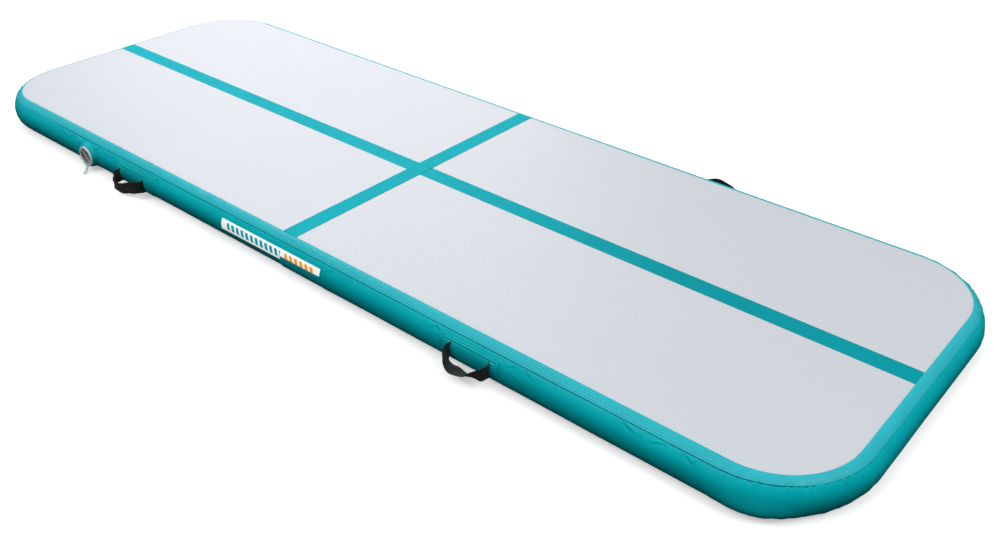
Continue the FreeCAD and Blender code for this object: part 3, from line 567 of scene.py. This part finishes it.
def crease_height(angle):
    """Each crease is a ridge with a shallower dent below it."""
    total = np.zeros(STEPS)
    for middle, level, half_length, half_width, slant, lift in CREASES:
        along = WIDEST[:, 0] - middle
        across = TUBE * (angle - level) - slant * along
        total += lift * np.exp(-(along / half_length) ** 2 - (across / half_width) ** 2)
        total -= 0.6 * lift * np.exp(-(along / half_length) ** 2 - ((across - 1.7 * half_width) / half_width) ** 2)
    return np.where(ON_NEAR_SIDE, total, 0)


def wall_height(angle):
    """How far the wall stands off the round shape, at one tube angle.

    It has puckers along both seams, folds round the corners, slow waves, the near side's creases, a groove
    beside each tape and soft bumps round the valve, where it lies flat under the flange.
    """
    from_seam = TUBE * (angle - TAPE_TO)
    to_seam = TUBE * (math.pi - TAPE_TO - angle)
    near_seam = math.exp(-(max(from_seam, 0) / 0.010) ** 2) + 0.35 * math.exp(-(max(to_seam, 0) / 0.010) ** 2)
    seam_room = smooth_step(0, 0.003, min(from_seam, to_seam))
    strength = 0.0003 + 0.0011 * PATCHY + 0.0014 * CORNERNESS
    height = strength * near_seam * seam_room * (0.6 * PUCKER + 0.6 * np.abs(PUCKER_LONG) - 0.5)
    height += seam_room * CORNERNESS * 0.0005 * FOLD * math.sin(angle) ** 2
    height += 0.00025 * SWELL * math.sin(angle) ** 2 + crease_height(angle) * seam_room
    height *= 1 - 0.92 * BEHIND_LABEL
    gap = SEAM_GAP * (1 - 0.7 * BURIED)
    height -= gap * math.exp(-((min(from_seam, to_seam) - 0.0012) / 0.0009) ** 2)
    for offset, lift, width, size, reach in VALVE_BUMPS:
        height += size * near_bump(VALVE.x + offset, math.pi / 2 - lift, width, reach, angle)
    flat = near_bump(VALVE.x, math.pi / 2, 0.034, 0.034, angle)
    return height * (1 - 0.8 * flat) - 0.0003 * flat


def edge_strip(name, outline, material, wanted=None):
    """Closed strip round the edge. The outline is (tube angle, height or height by perimeter) pairs."""
    rows = [edge_point(angle, height) for angle, height in outline]
    points = np.stack(rows)
    if wanted is None:
        faces = grid_faces(len(rows), STEPS, close_rows=True, close_columns=True)
    else:
        points = points[:, wanted]
        faces = grid_faces(len(rows), len(wanted), close_rows=True)
        faces += cap_faces(len(rows), len(wanted))
    return mesh_piece(name, points, faces, material)


def wall_outline():
    first, last = TAPE_TO - TUCK, math.pi - TAPE_TO + TUCK
    outer = [(angle, wall_height(angle)) for angle in np.linspace(first, last, WALL_ROWS)]
    inner = [(angle, wall_height(angle) - SKIN) for angle in np.linspace(last, first, LINING_ROWS)]
    return outer + inner


def side_walls():
    """Two walls that meet at a joint on each long side; the joints' places come from the CAD walls.

    The left one has no hole under the valve, unlike the CAD wall.
    """
    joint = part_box("left_side_wall")[1].x
    first = int(np.argmin(np.where(WIDEST[:, 1] < 0, np.abs(WIDEST[:, 0] - joint), 9)))
    second = int(np.argmin(np.where(WIDEST[:, 1] > 0, np.abs(WIDEST[:, 0] + joint), 9)))
    outline = wall_outline()
    lap = [(angle, height + LAP_RISE) for angle, height in outline]
    for name, rows, wanted, nodes in (
        ("right_wall_skin", outline, list(range(first, second + 1)), ["right_side_wall"]),
        ("left_wall_skin", outline, list(range(second, STEPS)) + list(range(first + 1)), ["left_side_wall"]),
        ("near_wall_lap", lap, list(range(first - 2, first + 3)), []),
        ("far_wall_lap", lap, list(range(second - 2, second + 3)), []),
    ):
        on_mat(edge_strip(name, rows, WALL, wanted), "wall_skin", *nodes)


def groove_depth(angle):
    """Depth of the lines embossed along the tape."""
    across = TUBE * (angle - TAPE_FROM)
    return sum(GROOVE_DEPTH * math.exp(-((across - place * TAPE_WIDTH) / GROOVE_WIDTH) ** 2)
               for place in GROOVE_PLACES)


def tape_height(angle):
    """The tape's face, with its embossed lines and thin edges."""
    across = TUBE * (angle - TAPE_FROM)
    edge = min(across, TAPE_WIDTH - across)
    rise = TAPE_RISE * math.sqrt(max(0.0, min(1.0, (edge + 0.0002) / 0.0005)))
    return rise - groove_depth(angle) * GROOVED


def mirrored(outline):
    """The same outline at the bottom of the mat."""
    return [(math.pi - angle, height) for angle, height in outline]


def seam_tapes():
    """The tapes, with a painted shade on the embossed lines."""
    crumple = 0.00005 * PUCKER + 0.0008 * PUCKER_LONG * CORNERNESS
    for name, node, upper in (("top_seam_tape_skin", "top_seam_tape", True),
                              ("bottom_seam_tape_skin", "bottom_seam_tape", False)):
        outer = []
        for angle in np.linspace(TAPE_FROM, TAPE_TO, TAPE_ROWS):
            loose = smooth_step(0.35, 1, (angle - TAPE_FROM) / (TAPE_TO - TAPE_FROM))
            outer.append((angle, tape_height(angle) + crumple * loose))
        inner = [(angle, -0.0004) for angle in np.linspace(TAPE_TO, TAPE_FROM, 6)]
        outline = outer + inner
        piece = edge_strip(name, outline if upper else mirrored(outline), TAPE)
        piece.data.materials.append(TAPE_GROOVE_SHADE)
        deep = np.array([groove_depth(angle) for angle, _ in outer]) > GROOVE_SHADED_FROM
        groove_shaded = np.zeros((len(outline), STEPS), int)
        groove_shaded[:TAPE_ROWS - 1] = (deep[:-1] & deep[1:])[:, None] & (GROOVED > 0.6)
        piece.data.polygons.foreach_set("material_index", groove_shaded.ravel())
        on_mat(piece, "seam_tape", node)


def seam_shadow_strips():
    """Thin dark strip along the free edge of each tape, a painted shadow of the seam's gap."""
    span = np.linspace(TAPE_TO - 0.01, TAPE_TO + LINE_WIDTH / TUBE, 6)
    surface = 0.0002 - 0.0016 * BURIED
    outline = [(angle, surface) for angle in span] + [(angle, surface - 0.0010) for angle in span[::-1]]
    for name, rows in (("top_seam_shadow", outline), ("bottom_seam_shadow", mirrored(outline))):
        on_mat(edge_strip(name, rows, SEAM_SHADOW), "seam_tape")


# ---- decks and markings

def inset_loops(half_u, half_v, corner, insets, around):
    """Loops of a rounded rectangle, one for each inset, with matching points.

    around holds the steps along each long side, short side and corner.
    """
    long_steps, short_steps, corner_steps = around
    loops = []
    for inset in insets:
        a, b = half_u - inset, half_v - inset
        r = max(min(corner - inset, a, b), 0.0)
        loop = []
        for centre, start, side, steps in (
            ((a - r, r - b), -90, (1, 0), short_steps), ((a - r, b - r), 0, (0, 1), long_steps),
            ((r - a, b - r), 90, (-1, 0), short_steps), ((r - a, r - b), 180, (0, -1), long_steps),
        ):
            for step in range(corner_steps):
                angle = math.radians(start + 90 * step / corner_steps)
                loop.append((centre[0] + r * math.cos(angle), centre[1] + r * math.sin(angle)))
            corner_end = (centre[0] + r * side[0], centre[1] + r * side[1])
            if side in ((1, 0), (-1, 0)):
                other = (corner_end[0], -corner_end[1])
            else:
                other = (-corner_end[0], corner_end[1])
            for step in range(steps):
                share = step / steps
                loop.append((corner_end[0] + (other[0] - corner_end[0]) * share,
                             corner_end[1] + (other[1] - corner_end[1]) * share))
        loops.append(np.array(loop))
    return np.stack(loops)


def sheet_piece(name, size, corner, thickness, place, material, around, edge=0.0004, rings=None, lift=None):
    """Thin rounded rectangle laid on a surface. place(u, v, height) gives points in the row frame.

    edge is the width of its rounded rim, rings the loops inside that, and lift(u, v) its relief.
    """
    half_u, half_v = size[0] / 2, size[1] / 2
    depth = min(half_u, half_v)
    rings = rings or max(3, int(depth / 0.004))
    insets = [0, edge * 0.15, edge * 0.5, edge, edge * 2.5]
    insets += list(np.linspace(edge * 2.5, depth, rings + 1)[1:])
    rise = np.array([0, 0.55, 0.87, 1, 1] + [1] * rings)
    top = inset_loops(half_u, half_v, corner, insets, around)
    columns = top.shape[1]
    height = np.repeat(rise[:, None] * thickness, columns, 1)
    if lift is not None:
        height += lift(top[..., 0], top[..., 1]) * rise[:, None]
    below = top[:4:-1]
    u = np.concatenate([below[..., 0], top[..., 0]])
    v = np.concatenate([below[..., 1], top[..., 1]])
    height = np.concatenate([np.full(below.shape[:2], -SKIN / 2), height])
    faces = grid_faces(len(u), columns, close_columns=True)
    uv = np.stack([u, v], -1).reshape(-1, 2)
    return mesh_piece(name, place(u, v, height), faces, material, uv=uv, weld=True)


def deck_piece(name, node, top):
    """Flat deck whose rim rolls over the mat's edge and runs under the tape."""
    columns = range(0, STEPS, 4)
    rows = []
    for angle in np.radians([13, 11, 9, 7, 5, 3, 1.5]):
        rows.append(edge_point(angle, 0.0)[columns])
    for inset in list(np.linspace(TUBE, 0.12, 5)) + list(np.linspace(0.16, HALF_Y, 16)):
        line, _ = edge_line(inset)
        rows.append(np.column_stack([line, np.full(STEPS, 2 * TUBE)])[columns])
    upper = np.stack(rows)
    lower = upper[::-1] - np.array([0, 0, SKIN])
    points = np.concatenate([lower, upper])
    if not top:
        points[..., 2] = 2 * TUBE - points[..., 2]
    faces = grid_faces(len(points), len(columns), close_columns=True)
    on_mat(mesh_piece(name, points, faces, DECK, weld=True), "deck_skin", node)


def deck_level(distance, half):
    """Height of the deck at a distance from the middle, where it rolls over near the edge."""
    over = np.clip(np.abs(distance) - (half - TUBE), 0, TUBE)
    return TUBE + np.sqrt(TUBE ** 2 - over ** 2)


def stripes():
    """The cross stripe lies over the length stripe."""
    low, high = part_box("length_stripe")
    stripe_width = high.y - low.y
    rise, cross_thickness = 0.0005, 0.0012

    def along(u, v, height):
        return np.stack([u, v, deck_level(u, HALF_X) + height], -1)

    def across(u, v, height):
        bridge = rise * (1 - smooth_step(stripe_width / 2, stripe_width / 2 + 0.004, np.abs(u)))
        return np.stack([-v, u, deck_level(u, HALF_Y) + height + bridge * (height > 0)], -1)

    for name, node, length, thickness, place in (
        ("length_stripe_skin", "length_stripe", high.x - low.x, rise, along),
        ("cross_stripe_skin", "cross_stripe", 2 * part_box("cross_stripe")[1].y, cross_thickness, across),
    ):
        piece = sheet_piece(name, (length, stripe_width), 0.001, thickness, place, STRIPE, (420, 12, 3))
        on_mat(piece, "marking", node)


# ---- side label and handle patches

def on_side(centre_x, centre_angle, side):
    """place(u, v, height) for a sheet on a long side: u along X, v up the round wall."""
    def place(u, v, height):
        angle = centre_angle - v / TUBE
        radius = TUBE + height
        outward = (HALF_Y - TUBE) + radius * np.sin(angle)
        return np.stack([centre_x + u, side * outward, TUBE + radius * np.cos(angle)], -1)
    return place


def side_label():
    low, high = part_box("side_label")
    top = math.acos((high.z - TUBE) / TUBE)
    bottom = math.acos((low.z - TUBE) / TUBE)
    size = (high.x - low.x, TUBE * (bottom - top))
    place = on_side((low.x + high.x) / 2, (top + bottom) / 2, -1)
    piece = sheet_piece("side_label_print", size, 0.002, 0.0006, place, LABEL, (120, 12, 6), edge=0.0003)
    on_mat(piece, "label", "side_label")


STRAP_LOW, STRAP_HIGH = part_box("near_right_handle_strap")
SLIT = (STRAP_HIGH.x - STRAP_LOW.x) / 2 - 0.001
# where the webbing comes out of each cover: left and right of the handle's middle, and up
SLITS = {"near_right_handle": (-SLIT, SLIT, 0.0), "near_left_handle": (-SLIT - 0.004, SLIT - 0.003, -0.004),
         "far_right_handle": (-SLIT, SLIT, 0.0), "far_left_handle": (-SLIT, SLIT, 0.0)}


def handle_place(handle):
    """Middle x of a handle and the side it is on."""
    low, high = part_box(handle + "_cover_patch")
    return (low.x + high.x) / 2, math.copysign(1, low.y)


# the welt round each patch, from its edge in: a raised bead between two pressed lines
WELT_LINES, WELT_BEAD = (0.0040, 0.0118), 0.0078
# how far the cover stands up over the hidden webbing, whose band runs from the slit to this far out
BAND_RISE, BAND_END = 0.0009, 0.078


def welt(u, v, size):
    distance = np.minimum(size[0] / 2 - np.abs(u), size[1] / 2 - np.abs(v))
    line = sum(np.exp(-((distance - place) / 0.0014) ** 2) for place in WELT_LINES)
    return 0.0013 * np.exp(-((distance - WELT_BEAD) / 0.0020) ** 2) - 0.0009 * line


def handle_patches():
    """Base patch, cover patch and the two dark slit sheets of each handle, a painted shadow standing for the
    slits' shaded insides.
    """
    for handle, slits in SLITS.items():
        slit = min(-slits[0], slits[1])
        x, side = handle_place(handle)
        place = on_side(x, math.pi / 2, side)
        sizes = []
        for layer in ("_base_patch", "_cover_patch"):
            low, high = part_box(handle + layer)
            reach = math.asin((high.z - low.z) / 2 / (TUBE + 0.001))
            sizes.append((high.x - low.x, 2 * reach * TUBE))

        def base_lift(u, v):
            return welt(u, v, sizes[0])

        def cover_lift(u, v):
            outside_slit = smooth_step(slit - 0.001, slit + 0.002, np.abs(u))
            inside = outside_slit * (1 - smooth_step(BAND_END, BAND_END + 0.003, np.abs(u)))
            band = 1 - smooth_step(0.0185, 0.0205, np.abs(v))
            return welt(u, v, sizes[1]) + BAND_RISE * inside * band

        base = sheet_piece(handle + "_base_skin", sizes[0], 0.022, 0.0008, place, PATCH, (90, 20, 12),
                           lift=base_lift, rings=24)
        on_mat(base, "patch", handle + "_base_patch")
        cover = sheet_piece(handle + "_cover_skin", sizes[1], 0.016, 0.0017, place, PATCH, (120, 30, 12),
                            lift=cover_lift, rings=30)
        on_mat(cover, "patch", handle + "_cover_patch")
        for end, shift in zip(("left", "right"), slits[:2]):
            opening = on_side(x + shift, math.pi / 2 - slits[2] / TUBE, side)
            # painted shadow: a dark sheet over each slit stands for the shade inside it, with no hole behind
            slit_shadow_sheet = sheet_piece(f"{handle}_{end}_slit", (0.0034, 0.0405), 0.0016, 0.0021, opening, RUBBER_AND_SLIT_SHADE,
                                 (4, 30, 4), edge=0.0003, rings=3)
            on_mat(slit_shadow_sheet, "seal")


# ---- webbing loops

# Each loop is a row of stations, in millimetres from the middle of the handle on the mat's widest line:
# along the mat, outwards, up, and the lean of the webbing's width from upright, in degrees.
STRAPS = {
    "near_right_handle": [
        (-58, -3, 0, 0), (-59, 5, -1, 4), (-58, 13, -6, 18), (-53, 19, -13, 38), (-43, 23, -20, 60),
        (-24, 26, -24, 74), (-2, 27, -24, 70), (22, 27, -20, 50), (42, 25, -11, 28), (53, 19, -4, 14),
        (58, 11, -2, 8), (59, 4, -1, 3), (58, -4, -1, 0),
    ],
    "near_left_handle": [
        (-61, -3, -4, 0), (-63, 4, -6, -7), (-65, 12, -10, -14), (-62, 22, -14, -10), (-51, 31, -17, 2),
        (-30, 36, -18, 8), (-8, 34, -17, 10), (14, 29, -12, 10), (31, 23, -8, 8), (44, 15, -6, 6),
        (51, 8, -6, 3), (53.5, 3, -5, 1), (54, -3, -4, 0),
    ],
    "far_right_handle": [
        (-58, -3, 0, 0), (-57, 6, -3, 2), (-50, 17, -9, 6), (-38, 26, -12, 10), (-20, 31, -6, 12),
        (-3, 34, 0, 13), (12, 35, 1, 13), (30, 34, -2, 13), (50, 31, -7, 12), (69, 24, -12, 9),
        (71, 14, -9, 5), (62, 5, -3, 1), (58, -3, 0, 0),
    ],
    "far_left_handle": [
        (-58, -3, 0, 0), (-58, 6, -1, 6), (-57, 16, -9, 20), (-48, 26, -16, 30), (-28, 32, -20, 36),
        (-4, 34, -22, 38), (20, 34, -22, 36), (40, 30, -18, 30), (53, 21, -12, 20), (58, 12, -5, 8),
        (58, 5, -1, 3), (58, -3, 0, 0),
    ],
}
STRAP_WIDTH = 0.038
STRAP_THICK = 0.0018
# how high the lengthwise folds of each loop stand
FOLDS = {"near_right_handle": 0.0005, "near_left_handle": 0.0013, "far_right_handle": 0.0004,
         "far_left_handle": 0.0006}


def smooth_rows(stations, count):
    """Evenly spaced rows along a smooth curve through the stations (Catmull-Rom)."""
    knots = np.array(stations, float)
    padded = np.vstack([2 * knots[0] - knots[1], knots, 2 * knots[-1] - knots[-2]])
    dense = []
    for index in range(len(knots) - 1):
        a, b, c, d = padded[index:index + 4]
        for t in np.linspace(0, 1, 24, endpoint=False):
            dense.append(0.5 * (2 * b + (c - a) * t + (2 * a - 5 * b + 4 * c - d) * t ** 2
                                + (3 * b - a - 3 * c + d) * t ** 3))
    dense = np.vstack([dense, knots[-1]])
    run = np.concatenate([[0], np.cumsum(np.linalg.norm(np.diff(dense[:, :3], axis=0), axis=1))])
    wanted = np.linspace(0, run[-1], count)
    return np.stack([np.interp(wanted, run, dense[:, k]) for k in range(4)], 1), run[-1]


def webbing_section():
    """Closed outline of the webbing: (across, up) with round selvedges and shallow ribs."""
    half, thick = STRAP_WIDTH / 2, STRAP_THICK / 2
    outline = []
    for side in (1, -1):
        for place in np.linspace(-half + thick, half - thick, 26):
            rib = 0.00012 * math.cos(2 * math.pi * place / 0.0048)
            outline.append((side * place, side * (thick + rib)))
        for turn in np.linspace(math.radians(60), math.radians(-60), 5):
            outline.append((side * (half - thick + thick * math.cos(turn)), side * thick * math.sin(turn)))
    return np.array(outline)


def strap_relief(section, along, fold):
    """How far each point of the webbing stands off its flat shape: sag, curled edges and lengthwise folds."""
    across = section[:, 0]
    sag = 0.0011 * np.sin(2 * math.pi * (along / 0.047))[:, None] * np.sin(math.pi * across / STRAP_WIDTH)
    middle = np.sin(math.pi * along / along[-1])[:, None]
    curl = 0.0016 * (across / (STRAP_WIDTH / 2)) ** 2 * middle
    drift = 0.004 * np.sin(2 * math.pi * along / 0.11)[:, None]
    folds = fold * middle ** 2 * np.cos(2 * math.pi * (across + drift) / 0.0145)
    return sag + curl + folds


def webbing_loops():
    section = webbing_section()
    for handle, stations in STRAPS.items():
        x, side = handle_place(handle)
        rows, length = smooth_rows(stations, 150)
        centre = np.column_stack([x + rows[:, 0] / 1000, side * (HALF_Y + rows[:, 1] / 1000),
                                  TUBE + rows[:, 2] / 1000])
        lean = np.radians(rows[:, 3])
        forward = np.gradient(centre, axis=0)
        forward /= np.linalg.norm(forward, axis=1)[:, None]
        width = np.column_stack([np.zeros(len(lean)), side * np.sin(lean), np.cos(lean)])
        width -= forward * np.sum(width * forward, axis=1)[:, None]
        width /= np.linalg.norm(width, axis=1)[:, None]
        thick = np.cross(forward, width)
        along = np.linspace(0, length / 1000, len(centre))
        offset = section[:, 1][None, :] + strap_relief(section, along, FOLDS[handle])
        points = (centre[:, None] + width[:, None] * section[:, 0][None, :, None]
                  + thick[:, None] * offset[..., None])
        uv = np.stack(np.broadcast_arrays(section[:, 0][None], along[:, None]), -1)
        count = len(section)
        last = (len(centre) - 1) * count
        faces = grid_faces(len(centre), count, close_columns=True)
        faces += [tuple(range(count)), tuple(last + k for k in reversed(range(count)))]
        piece = mesh_piece(handle + "_webbing", points, faces, WEBBING, uv=uv.reshape(-1, 2))
        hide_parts(handle + "_strap", handle + "_strap_roots")
        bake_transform(piece)


# ---- valve

def softened(node, name, material, body, edge=0.0004):
    """A moulded piece with the CAD node's shape and rounded edges, riding on a body unless that is None."""
    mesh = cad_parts[node].data.copy()
    mesh.name = name
    mesh.materials.clear()
    mesh.materials.append(material)
    build = bmesh.new()
    build.from_mesh(mesh)
    bmesh.ops.remove_doubles(build, verts=build.verts, dist=1e-6)
    bmesh.ops.dissolve_limit(build, angle_limit=math.radians(0.6), verts=build.verts, edges=build.edges)
    build.to_mesh(mesh)
    build.free()
    piece = add_object(name, mesh)
    mesh.polygons.foreach_set("use_smooth", [True] * len(mesh.polygons))
    bevel = piece.modifiers.new("round_edges", "BEVEL")
    bevel.width = edge
    bevel.segments = 3
    bevel.limit_method = "ANGLE"
    bevel.angle_limit = math.radians(35)
    bevel.harden_normals = True
    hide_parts(node)
    if body is not None:
        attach(piece, body)
    return piece


def spring():
    """The coil stands on the valve body and stays fixed in place. It is too fine to bevel."""
    coil = softened("valve_spring", "valve_spring_coil", STEEL, None)
    coil.modifiers.clear()
    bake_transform(coil)


def valve_collar():
    """Soft seat: the wall's own skin drawn up round the flange like a low crater.

    The profile's points are radius, height, and how far the point follows the round wall.
    """
    profile = [(0.0240, -0.006, 0), (0.0240, 0.0004, 0), (0.0309, 0.0004, 0), (0.0312, 0.0030, 0),
               (0.0318, 0.0041, 0), (0.0329, 0.0045, 0.02), (0.0346, 0.0040, 0.15), (0.0366, 0.0026, 0.45),
               (0.0392, 0.0013, 0.8), (0.0420, 0.0006, 1), (0.0450, 0.0001, 1), (0.0466, -0.0012, 1)]
    angles = 2 * math.pi * np.arange(128) / 128
    crease = 1 + 0.22 * np.sin(5 * angles + 0.7) * np.sin(3 * angles + 2.0)
    lift = VALVE.z - TUBE
    rows = []
    for radius, height, share in profile:
        spread = 1 + 0.035 * share * np.sin(7 * angles)
        x, y = radius * spread * np.cos(angles), radius * spread * np.sin(angles)
        y = (1 - share) * y + share * (TUBE * np.sin((y + lift) / TUBE) - lift)
        wall = np.sqrt(TUBE ** 2 - (y + lift) ** 2) - TUBE
        proud = height * crease if radius > 0.033 and height > 0 else height
        level = (1 - share) * proud + share * (wall + proud)
        if height < 0 and radius < 0.03:
            level = wall + height
        rows.append(np.column_stack([VALVE.x + x, VALVE.y - level, VALVE.z + y]))
    faces = grid_faces(len(rows), len(angles), close_rows=True, close_columns=True)
    on_mat(mesh_piece("valve_collar_pad", np.stack(rows), faces, WALL), "collar", "valve_collar")


# the tether's route in the valve's own frame, in millimetres: along the mat, up, outwards
TETHER_ROUTE = [
    (-24.02, -13.76, 10.2), (-13.12, -21.97, 10.2), (-1, -31, 11.2), (9, -36, 13.5), (14, -40, 20),
    (15, -44, 27), (12, -45.6, 31), (8.4, -43.5, 28), (6.8, -39, 21.5), (6.5, -33.5, 15.8),
    (9.7, -29, 10.2), (15.448, -24.669, 10.2),
]
TETHER_DIAMETER = 0.003


def tether():
    """It hangs from the mat's body, and doesn't follow the cap when that is pulled."""
    curve = bpy.data.curves.new("cap_tether_cord", "CURVE")
    curve.dimensions = "3D"
    curve.bevel_depth = TETHER_DIAMETER / 2
    curve.bevel_resolution = 5
    curve.resolution_u = 16
    curve.use_fill_caps = True
    spline = curve.splines.new("NURBS")
    spline.points.add(len(TETHER_ROUTE) - 1)
    for point, (x, y, out) in zip(spline.points, TETHER_ROUTE):
        point.co = (VALVE.x + x / 1000, VALVE.y - out / 1000, VALVE.z + y / 1000, 1)
    spline.order_u = 3
    spline.use_endpoint_u = True
    curve.materials.append(TETHER)
    piece = add_object("cap_tether_cord", curve)
    on_mat(piece, "tether", "cap_tether")


def valve():
    valve_collar()
    softened("valve_body", "valve_body_shell", SHELL, "mat", 0.0007)
    softened("valve_cap", "valve_cap_shell", CAP, "turning_cap", 0.0006)
    softened("cap_swivel", "cap_swivel_ring", TETHER, "cap_carrier", 0.0002)
    softened("valve_nut", "valve_nut_ring", DARK_PLASTIC, "mat", 0.0004)
    softened("valve_stem", "valve_stem_plunger", DARK_PLASTIC, "valve_plunger", 0.0003)
    spring()
    tether()


def paint_kept_nodes():
    """Hidden or already right CAD nodes keep their shape and get a finished material."""
    for node, material in (
        ("drop_stitch_threads", THREAD), ("inner_top_tape", INNER), ("inner_bottom_tape", INNER),
        ("wall_joint_straps", INNER), ("valve_gasket", RUBBER_AND_SLIT_SHADE), ("valve_diaphragm", RUBBER_AND_SLIT_SHADE),
        ("cap_seal", RUBBER_AND_SLIT_SHADE),
    ):
        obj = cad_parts[node]
        obj.data.materials.clear()
        obj.data.materials.append(material)


# ---- stage

def floor():
    """Pale floor just under the mat, brighter to the camera than the light it throws back on the mat."""
    reach, level = 20, -0.0004
    mesh = bpy.data.meshes.new("floor")
    mesh.from_pydata([(-reach, -reach, level), (reach, -reach, level), (reach, reach, level),
                      (-reach, reach, level)], [], [(0, 1, 2, 3)])
    material, tree, shader = new_material("pale_floor", (0.93, 0.93, 0.93), 0.8, Specular_IOR_Level=0.1)
    seen = add_node(tree, "ShaderNodeLightPath").outputs["Is Camera Ray"]
    shade = mix_colours(tree, seen, (0.02, 0.02, 0.02, 1), (0.95, 0.95, 0.95, 1))
    tree.links.new(shade, shader.inputs["Base Color"])
    shader.inputs["Emission Color"].default_value = (1, 1, 1, 1)
    tree.links.new(math_node(tree, "MULTIPLY", seen, 0.4), shader.inputs["Emission Strength"])
    mesh.materials.append(material)
    add_object("floor", mesh)


def soft_light(name, place, aim, size, power):
    light = bpy.data.lights.new(name, "AREA")
    light.shape = "RECTANGLE"
    light.size, light.size_y = size
    light.energy = power
    lamp = add_object(name, light)
    lamp.location = place
    lamp.rotation_euler = (Vector(aim) - Vector(place)).to_track_quat("-Z", "Y").to_euler()


def lights():
    """A studio sky that the mat is lit by and mirrors, a plain backdrop for the camera, and three soft lights."""
    world = bpy.data.worlds.new("studio")
    world.use_nodes = True
    tree = world.node_tree
    sky = tree.nodes["Background"]
    up = split(tree, add_node(tree, "ShaderNodeTexCoord").outputs["Generated"])["Z"]
    level = math_node(tree, "MULTIPLY", math_node(tree, "ADD", up, 1), 0.5)
    shades = [(0.0, 0.75), (0.49, 0.3), (0.5, 0.07), (1.0, (0.97, 0.985, 1.0))]
    tree.links.new(ramp(tree, level, shades), sky.inputs["Color"])
    sky.inputs["Strength"].default_value = 0.96
    backdrop = add_node(tree, "ShaderNodeBackground", Color=(0.95, 0.95, 0.95, 1), Strength=1.0)
    seen = add_node(tree, "ShaderNodeMixShader")
    tree.links.new(add_node(tree, "ShaderNodeLightPath").outputs["Is Camera Ray"], seen.inputs[0])
    tree.links.new(sky.outputs[0], seen.inputs[1])
    tree.links.new(backdrop.outputs[0], seen.inputs[2])
    tree.links.new(seen.outputs[0], tree.nodes["World Output"].inputs["Surface"])
    bpy.context.scene.world = world
    soft_light("key", (-3.2, 2.4, 2.2), (-0.3, 0, 0), (3.2, 1.8), 112)
    soft_light("front", (-0.4, -3.2, 3.4), (0.1, -0.4, 0.05), (3.6, 1.4), 60)
    soft_light("right", (3.6, -0.4, 2.6), (0.8, 0.0, 0), (2.0, 1.4), 30)


def camera():
    """Camera on an orbit about a point near the mat's middle, turned a little about its own axis."""
    azimuth, elevation, roll = math.radians(38.508), math.radians(30.570), math.radians(0.5965)
    back = Vector((math.sin(azimuth) * math.cos(elevation), -math.cos(azimuth) * math.cos(elevation),
                   math.sin(elevation)))
    level = Vector((math.cos(azimuth), math.sin(azimuth), 0))
    upright = back.cross(level)
    right = level * math.cos(roll) + upright * math.sin(roll)
    up = upright * math.cos(roll) - level * math.sin(roll)
    lens = bpy.data.cameras.new("camera")
    lens.sensor_width = 36
    lens.lens = 38.163
    lens.shift_x = -0.0546
    lens.shift_y = -0.0538
    lens.clip_end = 100
    viewer = add_object("camera", lens)
    aim, distance = Vector((0.3701, 0.1462, 0)), 2.9302
    place = aim + back * distance
    viewer.matrix_world = Matrix.Translation(place) @ Matrix((right, up, back)).transposed().to_4x4()
    bpy.context.scene.camera = viewer


bpy.context.scene.view_settings.view_transform = "Standard"
camera()
side_walls()
seam_tapes()
seam_shadow_strips()
deck_piece("top_deck_skin", "top_deck", True)
deck_piece("bottom_deck_skin", "bottom_deck", False)
stripes()
side_label()
handle_patches()
webbing_loops()
valve()
paint_kept_nodes()
floor()
lights()
